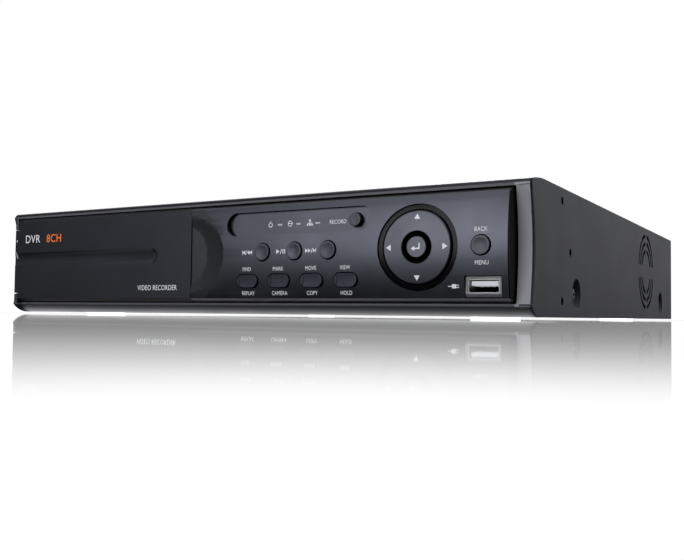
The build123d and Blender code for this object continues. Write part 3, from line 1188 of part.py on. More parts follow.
NODES = {
    "top_cover": make_top_cover,
    "base_pan": make_base_pan,
    "cover_screws": make_cover_screws,
    "feet": make_feet,
    "trim_frame": lambda: TRIM,
    "bezel_frame": lambda: make_bezel_frame(TRIM),
    "hinge_pins": make_hinge_pins,
    "door": make_door,
    "control_panel": make_control_panel,
    "status_window": make_status_window,
    "light_pipes": make_light_pipes,
    "dpad_outer_ring": make_dpad_outer_ring,
    "dpad_rocker": make_dpad_rocker,
    "dpad_inner_ring": make_dpad_inner_ring,
    "dpad_gimbal": make_gimbal,
    "enter_button": make_enter_key,
    "usb_surround": make_usb_surround,
    "usb_shell": make_usb_shell,
    "usb_tongue": make_usb_tongue,
    "front_board": make_front_board,
    "tact_switches": make_tact_switches,
    "status_leds": make_status_leds,
    "ribbon_cable": make_ribbon_cable,
    "main_board": make_main_board,
    "board_standoffs": make_standoffs,
    "inner_screws": make_inner_screws,
    "drive_bracket": make_drive_bracket,
    "hard_drive": make_hard_drive,
    "heatsink": make_heatsink,
    "board_chips": make_chips,
    "capacitors": make_capacitors,
    "cell_holder": make_cell_holder,
    "coin_cell": make_coin_cell,
    "drive_leads": make_sata_cables,
    "optical_drive": make_optical_drive,
    "optical_bezel": make_optical_bezel,
    "eject_button": make_eject_key,
    "fan_frame": make_fan_frame,
    "fan_rotor": make_fan_rotor,
    "bnc_shells": make_bnc_shells,
    "bnc_insulators": make_bnc_insulators,
    "bnc_bodies": make_bnc_bodies,
    "audio_jacks": make_audio_jacks,
    "audio_cores": make_audio_cores,
    "vga_port": make_vga_port,
    "vga_insert": make_vga_insert,
    "hdmi_port": make_hdmi_port,
    "network_port": make_network_port,
    "terminal_block": make_terminal_block,
    "power_jack": make_power_jack,
    "earth_screw": make_earth_screw,
}

for name, maker in NODES.items():
    export(name, maker())
for name, (key_x, key_z) in zip(ROUND_NAMES, ROUND_PLACES):
    export(name, make_round_key(key_x, key_z, ROUND_R, ROUND_FACE, FLANGE_Y))
for name, (key_x, key_z) in zip(OVAL_NAMES, OVAL_PLACES):
    export(name, make_oval_key(key_x, key_z))
export("record_button", make_round_key(RECORD_X, WINDOW_Z - 0.4, RECORD_R, RECORD_FACE, 0.1))
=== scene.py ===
"""Looks of a compact desktop video recorder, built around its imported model.

Sizes here are millimetres in the maker's own axes: X to the right seen from the front, Y back from
the front corners of the side plates, and Z up from the underside of the casing. Place turns them
into metres in the model's frame.
"""

import json
import logging
import math
from collections.abc import Iterable, Sequence
from dataclasses import dataclass, field
from enum import Enum

import bpy
from mathutils import Matrix, Vector

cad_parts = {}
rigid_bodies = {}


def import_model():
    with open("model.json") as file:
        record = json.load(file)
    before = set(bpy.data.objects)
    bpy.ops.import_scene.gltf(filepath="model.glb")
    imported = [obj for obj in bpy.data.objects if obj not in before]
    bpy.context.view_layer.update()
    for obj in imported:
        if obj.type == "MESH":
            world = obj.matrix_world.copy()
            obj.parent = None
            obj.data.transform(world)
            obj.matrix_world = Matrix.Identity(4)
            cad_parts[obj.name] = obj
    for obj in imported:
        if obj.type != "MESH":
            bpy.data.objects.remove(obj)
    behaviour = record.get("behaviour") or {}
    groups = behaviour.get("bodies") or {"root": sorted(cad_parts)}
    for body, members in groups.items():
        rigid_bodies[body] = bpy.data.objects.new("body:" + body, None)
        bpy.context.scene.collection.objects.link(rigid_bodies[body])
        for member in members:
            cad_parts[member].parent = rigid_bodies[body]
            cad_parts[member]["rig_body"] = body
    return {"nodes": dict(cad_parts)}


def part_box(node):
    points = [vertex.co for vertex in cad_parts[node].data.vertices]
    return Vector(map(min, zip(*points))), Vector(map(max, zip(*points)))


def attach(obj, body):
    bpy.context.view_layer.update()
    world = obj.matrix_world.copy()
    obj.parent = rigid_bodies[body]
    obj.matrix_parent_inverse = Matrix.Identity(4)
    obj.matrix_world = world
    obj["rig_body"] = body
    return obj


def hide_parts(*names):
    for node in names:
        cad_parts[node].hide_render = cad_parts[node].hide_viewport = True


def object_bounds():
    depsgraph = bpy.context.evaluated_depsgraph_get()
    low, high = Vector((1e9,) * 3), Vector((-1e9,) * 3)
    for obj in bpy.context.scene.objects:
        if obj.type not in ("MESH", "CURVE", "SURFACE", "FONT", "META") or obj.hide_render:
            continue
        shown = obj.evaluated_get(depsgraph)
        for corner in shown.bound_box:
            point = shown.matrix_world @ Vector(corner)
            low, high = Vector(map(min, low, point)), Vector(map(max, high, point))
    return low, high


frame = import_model()
CAD_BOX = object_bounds()

LOG = logging.getLogger("video_recorder")
MM = 0.001
Colour = tuple[float, float, float]
NodeInput = float | tuple[float, ...] | bpy.types.NodeSocket


@dataclass(frozen=True)
class Place:
    """Turns the maker's millimetres into metres in the model's frame.

    Attributes:
        front: Y of the side plates' front corners, in metres.
        underside: Z of the casing's underside, in metres.
    """

    front: float
    underside: float

    def x(self, value: float) -> float:
        """Turns an X.

        Args:
            value: X in millimetres.

        Returns:
            X in metres.
        """
        return value * MM

    def y(self, value: float) -> float:
        """Turns a Y.

        Args:
            value: Y in millimetres.

        Returns:
            Y in metres.
        """
        return self.front + value * MM

    def z(self, value: float) -> float:
        """Turns a Z.

        Args:
            value: Z in millimetres.

        Returns:
            Z in metres.
        """
        return self.underside + value * MM

    def point(self, x: float, y: float, z: float) -> Vector:
        """Turns a point.

        Args:
            x: X in millimetres.
            y: Y in millimetres.
            z: Z in millimetres.

        Returns:
            The point in metres.
        """
        return Vector((self.x(x), self.y(y), self.z(z)))


PLACE = Place(front=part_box("top_cover")[0].y, underside=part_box("base_pan")[0].z)


def centre_of(node: str) -> tuple[float, float]:
    """X and Z of a node's middle, in the maker's millimetres.

    Args:
        node: Name of a model node.

    Returns:
        The X and Z of the middle of its box.
    """
    low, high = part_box(node)
    return (low.x + high.x) / 2 / MM, ((low.z + high.z) / 2 - PLACE.underside) / MM


def deselect_all() -> None:
    """Leaves edit mode and deselects every object."""
    if bpy.context.object and bpy.context.object.mode != "OBJECT":
        bpy.ops.object.mode_set(mode="OBJECT")
    bpy.ops.object.select_all(action="DESELECT")


def select_only(*pieces: bpy.types.Object) -> None:
    """Selects these objects alone and makes the first one active.

    Args:
        *pieces: The objects.
    """
    deselect_all()
    for piece in pieces:
        piece.select_set(True)
    bpy.context.view_layer.objects.active = pieces[0]


def apply_modifier(piece: bpy.types.Object, kind: str, **settings: object) -> None:
    """Adds a modifier to a piece and applies it.

    Args:
        piece: The mesh object.
        kind: The modifier's type.
        **settings: Values for the modifier's properties.
    """
    select_only(piece)
    modifier = piece.modifiers.new(kind.lower(), kind)
    for name, value in settings.items():
        setattr(modifier, name, value)
    bpy.ops.object.modifier_apply(modifier=modifier.name)


# ------------------------------------------------------------------ shader nodes


class Graph:
    """Adds nodes to one node tree, each with its inputs set or linked."""

    COLUMN = 190.0
    ROW = 220.0
    ROWS = 4

    def __init__(self, tree: bpy.types.NodeTree) -> None:
        """Empties the tree.

        Args:
            tree: The node tree to fill.
        """
        self.tree = tree
        self.tree.nodes.clear()

    def node(
        self, kind: str, inputs: dict[str | int, NodeInput] | None = None, **settings: object
    ) -> bpy.types.Node:
        """Adds one node.

        Args:
            kind: The node's type.
            inputs: Values or sockets for its inputs, by name or number.
            **settings: Values for the node's own properties.

        Returns:
            The new node.
        """
        made = self.tree.nodes.new(kind)
        count = len(self.tree.nodes)
        made.location = (count // self.ROWS * self.COLUMN, -(count % self.ROWS) * self.ROW)
        for name, value in settings.items():
            setattr(made, name, value)
        for name, value in (inputs or {}).items():
            socket = made.inputs[name]
            if isinstance(value, bpy.types.NodeSocket):
                self.tree.links.new(value, socket)
            else:
                socket.default_value = value
        return made

    def math(self, operation: str, first: NodeInput, second: NodeInput = 0.0) -> bpy.types.NodeSocket:
        """Adds a Math node.

        Args:
            operation: What it does.
            first: The first value.
            second: The second value.

        Returns:
            Its result.
        """
        return self.node("ShaderNodeMath", {0: first, 1: second}, operation=operation).outputs[0]

    def blend(
        self, factor: NodeInput, first: NodeInput, second: NodeInput, mode: str = "MIX"
    ) -> bpy.types.NodeSocket:
        """Adds a colour Mix node.

        Args:
            factor: How much of the second colour.
            first: The first colour.
            second: The second colour.
            mode: The blend mode.

        Returns:
            The mixed colour.
        """
        made = self.node("ShaderNodeMix", data_type="RGBA", blend_type=mode)
        for number, value in ((0, factor), (6, first), (7, second)):
            if isinstance(value, bpy.types.NodeSocket):
                self.tree.links.new(value, made.inputs[number])
            else:
                made.inputs[number].default_value = value
        return made.outputs[2]

    def vector(
        self, operation: str, first: NodeInput, second: NodeInput = (0.0, 0.0, 0.0)
    ) -> bpy.types.Node:
        """Adds a Vector Math node.

        Args:
            operation: What it does.
            first: The first vector.
            second: The second vector.

        Returns:
            The node.
        """
        return self.node("ShaderNodeVectorMath", {0: first, 1: second}, operation=operation)

    def ramp(
        self, value: bpy.types.NodeSocket, given: tuple[float, float], wanted: tuple[float, float]
    ) -> bpy.types.NodeSocket:
        """Maps a value softly from one range to another.

        Args:
            value: The value.
            given: The range it comes from.
            wanted: The range it goes to.

        Returns:
            The mapped value.
        """
        limits = {"From Min": given[0], "From Max": given[1], "To Min": wanted[0], "To Max": wanted[1]}
        return self.node(
            "ShaderNodeMapRange", {"Value": value, **limits}, interpolation_type="SMOOTHSTEP"
        ).outputs[0]


def opaque(colour: Colour, scale: float = 1.0) -> tuple[float, float, float, float]:
    """A colour with full opacity, brightened or darkened.

    Args:
        colour: The colour.
        scale: What it is multiplied by.

    Returns:
        The colour and its opacity.
    """
    return (*(min(1.0, channel * scale) for channel in colour), 1.0)


@dataclass(frozen=True)
class GroupSocket:
    """A named input or output of a node group.

    Attributes:
        name: Its name.
        kind: Its type.
        default: An input's value where nothing is linked.
    """

    name: str
    kind: str = "NodeSocketFloat"
    default: float | tuple[float, float, float] = 0.0


def new_group(
    name: str, inputs: Sequence[GroupSocket], outputs: Sequence[GroupSocket]
) -> tuple[Graph, bpy.types.Node, bpy.types.Node]:
    """Starts a shader node group.

    Args:
        name: The group's name.
        inputs: Its input sockets.
        outputs: Its output sockets.

    Returns:
        A graph on the group, its input node and its output node.
    """
    tree = bpy.data.node_groups.new(name, "ShaderNodeTree")
    for side, sockets in (("INPUT", inputs), ("OUTPUT", outputs)):
        for socket in sockets:
            made = tree.interface.new_socket(socket.name, in_out=side, socket_type=socket.kind)
            if side == "INPUT":
                made.default_value = socket.default
    graph = Graph(tree)
    return graph, graph.node("NodeGroupInput"), graph.node("NodeGroupOutput")


VECTOR = "NodeSocketVector"


def build_grain_group() -> bpy.types.NodeTree:
    """Fine moulded or sprayed relief with soft patches of tone.

    Returns:
        The group, with the outputs Height and Tone.
    """
    patch_scale = 45.0
    fine_share = 0.65
    cell_scale = 0.8
    graph, given, result = new_group(
        "surface_grain",
        [GroupSocket("Position", VECTOR, (0.0, 0.0, 0.0)), GroupSocket("Size", default=0.0003)],
        [GroupSocket("Height"), GroupSocket("Tone")],
    )
    scale = graph.math("DIVIDE", 1.0, given.outputs["Size"])
    where = graph.node(
        "ShaderNodeVectorMath", {0: given.outputs["Position"], "Scale": scale}, operation="SCALE"
    ).outputs[0]
    fine = graph.node("ShaderNodeTexNoise", {"Vector": where, "Scale": 1.0, "Detail": 3.0}).outputs[0]
    cells = graph.node("ShaderNodeTexVoronoi", {"Vector": where, "Scale": cell_scale}).outputs["Distance"]
    fine_part = graph.math("MULTIPLY", fine, fine_share)
    cell_part = graph.math("MULTIPLY", cells, 1.0 - fine_share)
    patches = graph.node(
        "ShaderNodeTexNoise",
        {"Vector": given.outputs["Position"], "Scale": patch_scale, "Detail": 4.0, "Roughness": 0.6},
    ).outputs[0]
    graph.tree.links.new(graph.math("ADD", fine_part, cell_part), result.inputs["Height"])
    graph.tree.links.new(patches, result.inputs["Tone"])
    return graph.tree


def build_brush_group() -> bpy.types.NodeTree:
    """Long fine scratches along one direction.

    Returns:
        The group, with the outputs Height and Tone.
    """
    wide_scale = 0.12
    graph, given, result = new_group(
        "brushed_lines",
        [
            GroupSocket("Position", VECTOR, (0.0, 0.0, 0.0)),
            GroupSocket("Stretch", VECTOR, (4000.0, 60.0, 4000.0)),
        ],
        [GroupSocket("Height"), GroupSocket("Tone")],
    )
    where = graph.vector("MULTIPLY", given.outputs["Position"], given.outputs["Stretch"]).outputs[0]
    lines = graph.node("ShaderNodeTexNoise", {"Vector": where, "Scale": 1.0, "Detail": 4.0}).outputs[0]
    wide = graph.node(
        "ShaderNodeTexNoise", {"Vector": where, "Scale": wide_scale, "Detail": 2.0}
    ).outputs[0]
    graph.tree.links.new(lines, result.inputs["Height"])
    graph.tree.links.new(graph.math("MULTIPLY", graph.math("ADD", lines, wide), 0.5), result.inputs["Tone"])
    return graph.tree


def build_spangle_group() -> bpy.types.NodeTree:
    """Crystal patches of a zinc coating.

    Returns:
        The group, with the outputs Height and Tone.
    """
    fine_scale = 2500.0
    graph, given, result = new_group(
        "zinc_spangle",
        [GroupSocket("Position", VECTOR, (0.0, 0.0, 0.0)), GroupSocket("Size", default=0.006)],
        [GroupSocket("Height"), GroupSocket("Tone")],
    )
    scale = graph.math("DIVIDE", 1.0, given.outputs["Size"])
    crystals = graph.node(
        "ShaderNodeTexVoronoi", {"Vector": given.outputs["Position"], "Scale": scale}, feature="F1"
    )
    grey = graph.node("ShaderNodeSeparateColor", {0: crystals.outputs["Color"]}).outputs[0]
    fine = graph.node(
        "ShaderNodeTexNoise", {"Vector": given.outputs["Position"], "Scale": fine_scale, "Detail": 2.0}
    ).outputs[0]
    graph.tree.links.new(fine, result.inputs["Height"])
    graph.tree.links.new(grey, result.inputs["Tone"])
    return graph.tree


def build_band_group() -> bpy.types.NodeTree:
    """A soft-edged mask along one coordinate, which places painted shade.

    Returns:
        The group, with the output Mask.
    """
    graph, given, result = new_group(
        "soft_band",
        [GroupSocket("Coordinate"), GroupSocket("Start"), GroupSocket("End", default=1.0)],
        [GroupSocket("Mask")],
    )
    ramp = graph.node(
        "ShaderNodeMapRange",
        {
            "Value": given.outputs["Coordinate"],
            "From Min": given.outputs["Start"],
            "From Max": given.outputs["End"],
        },
        interpolation_type="SMOOTHSTEP",
    )
    graph.tree.links.new(ramp.outputs[0], result.inputs["Mask"])
    return graph.tree


class Relief(Enum):
    """The fine relief that a finish has, by the group that makes it."""

    GRAIN = "surface_grain"
    BRUSHED = "brushed_lines"
    SPANGLE = "zinc_spangle"


GROUPS = {
    Relief.GRAIN: build_grain_group(),
    Relief.BRUSHED: build_brush_group(),
    Relief.SPANGLE: build_spangle_group(),
}
SOFT_BAND = build_band_group()


class Along(Enum):
    """A coordinate that a band of shade runs along."""

    X = 0
    Y = 1
    Z = 2


@dataclass(frozen=True)
class Band:
    """Painted shade along one coordinate: the colour is darkened past a soft edge.

    Attributes:
        along: The coordinate.
        start: Where the change starts, in the maker's millimetres.
        end: Where it is complete.
        shade: What the colour is multiplied by past the end.
    """

    along: Along
    start: float
    end: float
    shade: float

    def metres(self) -> tuple[float, float]:
        """Places the band in the model's frame.

        Returns:
            The start and the end, in metres.
        """
        place = (PLACE.x, PLACE.y, PLACE.z)[self.along.value]
        return place(self.start), place(self.end)


@dataclass(frozen=True)
class Disc:
    """Painted shade around a point of the front: the surface turns from metallic to matt there, and its
    colour is darkened as painted shade.

    Attributes:
        across: The point across, in the maker's millimetres.
        up: The point above the casing's underside, in millimetres.
        start: Radius where the change starts.
        end: Radius where it is complete.
        shade: What the colour is multiplied by past the end.
    """

    across: float
    up: float
    start: float
    end: float
    shade: float

    def distance(self, graph: Graph, where: bpy.types.NodeSocket) -> bpy.types.NodeSocket:
        """Distance from the point, seen from the front.

        Args:
            graph: The material's graph.
            where: Object coordinates.

        Returns:
            The distance in metres.
        """
        flat = graph.vector("MULTIPLY", where, (1.0, 0.0, 1.0)).outputs[0]
        middle = (PLACE.x(self.across), 0.0, PLACE.z(self.up))
        return graph.vector("DISTANCE", flat, middle).outputs["Value"]


TONE_RANGE = (0.3, 0.7)
SMOOTHEST = 0.02
COAT_ROUGHNESS = 0.08


@dataclass(frozen=True)
class Finish:
    """One surface finish.

    Attributes:
        name: Name of the material.
        colour: Linear base colour.
        roughness: Mean roughness.
        metallic: Metallic share.
        specular: Specular level of the shader.
        coat: Weight of a clear coat.
        relief: Kind of fine relief.
        grain: Size of the grain, in millimetres.
        depth: Depth of the relief, in millimetres.
        tone: How much the colour changes from patch to patch.
        gloss_change: How much the roughness changes from patch to patch.
        bands: Painted shade along the piece.
        discs: Painted shade around points of the front, where the surface also turns matt.
        tint: Colour of the shine at a straight look.
        clear: Share of the light that passes through.
        glow: Strength of the painted light it gives off in its own colour, though it is no lamp.
    """

    name: str
    colour: Colour
    roughness: float
    metallic: float = 0.0
    specular: float = 0.5
    coat: float = 0.0
    relief: Relief = Relief.GRAIN
    grain: float = 0.35
    depth: float = 0.006
    tone: float = 0.05
    gloss_change: float = 0.05
    bands: tuple[Band, ...] = ()
    discs: tuple[Disc, ...] = ()
    tint: Colour = (1.0, 1.0, 1.0)
    clear: float = 0.0
    glow: float = 0.0

    def relief_node(self, graph: Graph, where: bpy.types.NodeSocket) -> bpy.types.Node:
        """Places this finish's relief group.

        Args:
            graph: The material's graph.
            where: Object coordinates.

        Returns:
            The group node.
        """
        made = graph.node("ShaderNodeGroup", node_tree=GROUPS[self.relief])
        graph.tree.links.new(where, made.inputs["Position"])
        if self.relief is not Relief.BRUSHED:
            made.inputs["Size"].default_value = self.grain * MM
        return made

    def darkened(
        self,
        graph: Graph,
        coordinate: bpy.types.NodeSocket,
        reach: tuple[float, float],
        shade: float,
        colour: bpy.types.NodeSocket,
    ) -> tuple[bpy.types.NodeSocket, bpy.types.NodeSocket]:
        """Multiplies a colour by a painted shade past a soft edge.

        Args:
            graph: The material's graph.
            coordinate: The value that decides where the edge is.
            reach: Where the edge starts and where it is complete.
            shade: What the colour is multiplied by past the edge.
            colour: The colour so far.

        Returns:
            The colour with the change, and the mask of the edge.
        """
        mask = graph.node("ShaderNodeGroup", node_tree=SOFT_BAND)
        graph.tree.links.new(coordinate, mask.inputs["Coordinate"])
        mask.inputs["Start"].default_value, mask.inputs["End"].default_value = reach
        darker = graph.blend(1.0, colour, opaque((shade,) * 3), "MULTIPLY")
        return graph.blend(mask.outputs["Mask"], colour, darker), mask.outputs["Mask"]

    def shaded(
        self, graph: Graph, where: bpy.types.NodeSocket, colour: bpy.types.NodeSocket
    ) -> tuple[bpy.types.NodeSocket, NodeInput]:
        """Applies the finish's painted shade: its bands and discs.

        Args:
            graph: The material's graph.
            where: Object coordinates.
            colour: The colour so far.

        Returns:
            The colour with the painted shade, and the metallic share.
        """
        metallic = self.metallic
        split = graph.node("ShaderNodeSeparateXYZ", {0: where})
        # Painted shade: bands and discs darken the colour, and discs also take away the metallic share.
        for band in self.bands:
            coordinate = split.outputs[band.along.value]
            colour, _ = self.darkened(graph, coordinate, band.metres(), band.shade, colour)
        for disc in self.discs:
            reach = (disc.start * MM, disc.end * MM)
            colour, mask = self.darkened(graph, disc.distance(graph, where), reach, disc.shade, colour)
            metallic = graph.math("MULTIPLY", graph.math("SUBTRACT", 1.0, mask), metallic)
        return colour, metallic

    def material(self) -> bpy.types.Material:
        """Builds the material once, and gives the same one after that.

        Returns:
            The material.
        """
        name = f"{self.name}_finish"
        known = bpy.data.materials.get(name)
        if known:
            return known
        made = bpy.data.materials.new(name)
        made.use_nodes = True
        made.diffuse_color = opaque(self.colour)
        graph = Graph(made.node_tree)
        where = graph.node("ShaderNodeTexCoord").outputs["Object"]
        relief = self.relief_node(graph, where)
        colour = graph.blend(
            relief.outputs["Tone"],
            opaque(self.colour, 1.0 - self.tone),
            opaque(self.colour, 1.0 + self.tone),
        )
        colour, metallic = self.shaded(graph, where, colour)
        roughness = graph.node(
            "ShaderNodeMapRange",
            {
                "Value": relief.outputs["Tone"],
                "From Min": TONE_RANGE[0],
                "From Max": TONE_RANGE[1],
                "To Min": max(SMOOTHEST, self.roughness - self.gloss_change),
                "To Max": min(1.0, self.roughness + self.gloss_change),
            },
        ).outputs[0]
        bump = graph.node(
            "ShaderNodeBump",
            {"Height": relief.outputs["Height"], "Strength": 1.0, "Distance": self.depth * MM},
        ).outputs[0]
        shader = graph.node(
            "ShaderNodeBsdfPrincipled",
            {
                "Base Color": colour,
                "Roughness": roughness,
                "Metallic": metallic,
                "Specular IOR Level": self.specular,
                "Coat Weight": self.coat,
                "Coat Roughness": COAT_ROUGHNESS,
                "Specular Tint": opaque(self.tint),
                "Transmission Weight": self.clear,
                # Painted light: the finish's glow, in its own colour.
                "Emission Color": opaque(self.colour),
                "Emission Strength": self.glow,
                "Normal": bump,
            },
        )
        graph.node("ShaderNodeOutputMaterial", {"Surface": shader.outputs[0]})
        return made


# ------------------------------------------------------------------ finishes

COOL = (0.86, 0.90, 1.0)


def bare_metal(name: str, colour: Colour, roughness: float, depth: float = 0.001) -> Finish:
    """Bare or plated metal with fine brushed lines.

    Args:
        name: Name of the material.
        colour: Linear base colour.
        roughness: Mean roughness.
        depth: Depth of the lines, in millimetres.

    Returns:
        The finish.
    """
    return Finish(name, colour, roughness, metallic=1.0, relief=Relief.BRUSHED, depth=depth)


def graphite(name: str, colour: Colour, roughness: float) -> Finish:
    """Metallic grey paint on moulded plastic.

    Args:
        name: Name of the material.
        colour: Linear base colour.
        roughness: Mean roughness.

    Returns:
        The finish.
    """
    return Finish(name, colour, roughness, metallic=0.92, grain=0.22, depth=0.004)


def solder_mask(name: str, colour: Colour) -> Finish:
    """Coated circuit board.

    Args:
        name: Name of the material.
        colour: Linear base colour.

    Returns:
        The finish.
    """
    return Finish(name, colour, 0.35, coat=0.3, grain=1.2, depth=0.01, tone=0.2)


def ink(name: str, colour: Colour, roughness: float = 0.55, glow: float = 0.0) -> Finish:
    """Printing ink.

    Args:
        name: Name of the material.
        colour: Linear base colour.
        roughness: Mean roughness.
        glow: Strength of the painted light it gives off, though ink is no lamp.

    Returns:
        The finish.
    """
    return Finish(name, colour, roughness, grain=0.12, depth=0.001, tone=0.04, glow=glow)


# Steelwork and feet
POWDER_COAT = Finish(
    "charcoal_powder_coat",
    (0.034, 0.0355, 0.046),
    0.55,
    specular=0.3,
    grain=0.45,
    depth=0.010,
    tone=0.03,
    gloss_change=0.02,
    # Painted shade: the cover's front cut edge, within about a millimetre of the front corners, is darkened
    # to stand in for the shade on it.
    bands=(Band(Along.Y, 0.9, 0.5, 0.08),),
    tint=COOL,
)
ZINC = Finish(
    "zinc_coated_steel",
    (0.62, 0.63, 0.64),
    0.46,
    metallic=1.0,
    relief=Relief.SPANGLE,
    grain=4.0,
    tone=0.025,
    gloss_change=0.012,
)
BLACK_OXIDE = Finish(
    "black_oxide_steel", (0.030, 0.031, 0.034), 0.38, metallic=0.6, grain=0.15, depth=0.002
)
PLATED_STEEL = bare_metal("plated_steel", (0.60, 0.60, 0.61), 0.30)
# Painted light: the clear feet glow white, though they are no lamp.
SILICONE = Finish(
    "clear_silicone", (0.96, 0.96, 0.97), 0.12, specular=0.1, grain=0.5, depth=0.002, clear=1.0, glow=0.75
)

# Front mouldings
BEZEL = Finish("bezel_satin_black", (0.013, 0.014, 0.017), 0.34, grain=0.30, tint=COOL)
DOOR = Finish("door_satin_black", (0.0135, 0.014, 0.017), 0.42, specular=0.6, grain=0.30, tint=COOL)
TRIM = Finish(
    "trim_silver_grey",
    (0.46, 0.448, 0.474),
    0.50,
    grain=0.22,
    tone=0.10,
    # Painted shade: the trim's lips left of the pillar are darkened against the lit pillar.
    bands=(Band(Along.X, 143.2, 142.4, 0.33),),
)
PANEL = Finish(
    "panel_graphite",
    (0.081, 0.083, 0.095),
    0.36,
    metallic=0.92,
    grain=0.22,
    depth=0.004,
    bands=(
        # Painted shade: the panel's right end wall is painted near black, standing in for the shade on it.
        Band(Along.X, 141.9, 142.15, 0.02),
        # Painted shade: the panel's top bevel, above about 50.6 mm, is darkened.
        Band(Along.Z, 50.6, 50.9, 0.30),
        # Painted shade: the panel's left end edge is darkened.
        Band(Along.X, -17.4, -17.7, 0.10),
    ),
    # Painted shade in the finger scoop: within about 24 mm of its middle the panel turns matt and its colour
    # is darkened.
    discs=(Disc(-22.6, 28.2, 25.0, 23.6, 0.42),),
)
WINDOW = graphite("window_graphite", (0.104, 0.106, 0.117), 0.42)
PAD = graphite("pad_graphite", (0.086, 0.088, 0.099), 0.38)
KEY = graphite("key_graphite", (0.104, 0.106, 0.119), 0.52)
KEY_DARK = graphite("key_dark_grey", (0.046, 0.049, 0.058), 0.50)
GLOSS_BLACK = Finish(
    "gloss_black",
    (0.003, 0.003, 0.004),
    0.22,
    specular=0.15,
    grain=1.5,
    depth=0.001,
    tone=0.02,
    gloss_change=0.02,
)
# Painted light: the frosted guides are brightened by a faint glow in their own grey.
LAMP_GUIDE = Finish("frosted_lamp_guide", (0.55, 0.56, 0.58), 0.35, grain=0.2, glow=0.25)

# Front socket
SOCKET_PLATE = Finish("socket_plate_grey", (0.33, 0.325, 0.34), 0.42, grain=0.25)
SOCKET_STEEL = bare_metal("socket_steel", (0.30, 0.29, 0.27), 0.34, depth=0.0008)
# Painted light: the socket's tongue glows faintly, so it reads bright inside the shell.
TONGUE_WHITE = Finish("tongue_white", (0.80, 0.80, 0.84), 0.35, grain=0.3, glow=0.30)

# Electronics, drives and fan
BOARD_GREEN = solder_mask("green_solder_mask", (0.015, 0.085, 0.035))
BOARD_DARK = solder_mask("dark_solder_mask", (0.012, 0.030, 0.020))
RESIN = Finish("chip_resin", (0.022, 0.022, 0.024), 0.60, grain=0.25, depth=0.01)
SLEEVE = Finish("capacitor_sleeve", (0.016, 0.024, 0.070), 0.25, coat=0.3, grain=2.0, depth=0.003)
RIBBON = Finish("grey_ribbon", (0.42, 0.42, 0.44), 0.50, relief=Relief.BRUSHED, depth=0.02, tone=0.10)
RED_LEAD = Finish("red_lead", (0.42, 0.025, 0.025), 0.45, grain=0.6)
LAMP = Finish("lamp_resin", (0.62, 0.68, 0.62), 0.20, grain=0.8)
BRASS = bare_metal("turned_brass", (0.75, 0.58, 0.28), 0.25)
ANODISED = Finish("black_anodised", (0.045, 0.045, 0.050), 0.40, metallic=0.7, relief=Relief.BRUSHED)
CAST = Finish("cast_aluminium", (0.50, 0.51, 0.53), 0.50, metallic=1.0, grain=0.6, depth=0.02)
FAN_BLACK = Finish("fan_black", (0.018, 0.018, 0.020), 0.45, grain=0.5, depth=0.012)

# Rear jacks and sockets
NICKEL = bare_metal("nickel_plate", (0.66, 0.64, 0.60), 0.22)
TINNED = bare_metal("tinned_steel", (0.78, 0.74, 0.68), 0.18, depth=0.0008)
WHITE_PLASTIC = Finish("white_plastic", (0.80, 0.80, 0.84), 0.40, grain=0.3)
PORT_BLACK = Finish("port_black", (0.016, 0.016, 0.017), 0.48, grain=0.4, depth=0.012)
PORT_BLUE = Finish("port_blue", (0.016, 0.050, 0.300), 0.40, grain=0.5)
AUDIO_RED = Finish("audio_core_red", (0.52, 0.035, 0.030), 0.38, grain=0.5)
TERMINAL_GREEN = Finish("terminal_green", (0.025, 0.220, 0.070), 0.42, grain=0.5)

# Printing
# Painted light: the white and amber inks glow faintly, so the print reads bright under the dim front light.
INK_WHITE = ink("ink_white", (0.82, 0.82, 0.84), glow=0.35)
INK_BLACK = ink("ink_black", (0.012, 0.012, 0.014))
INK_AMBER = ink("ink_amber", (0.95, 0.20, 0.015), 0.50, glow=0.45)


def dress(finish: Finish, *nodes: str) -> None:
    """Gives model nodes a finish.

    Args:
        finish: The finish.
        *nodes: Names of model nodes.
    """
    for name in nodes:
        mesh = frame["nodes"][name].data
        mesh.materials.clear()
        mesh.materials.append(finish.material())
        LOG.info("%s: %s", name, finish.name)


# ------------------------------------------------------------------ softened copies of model nodes


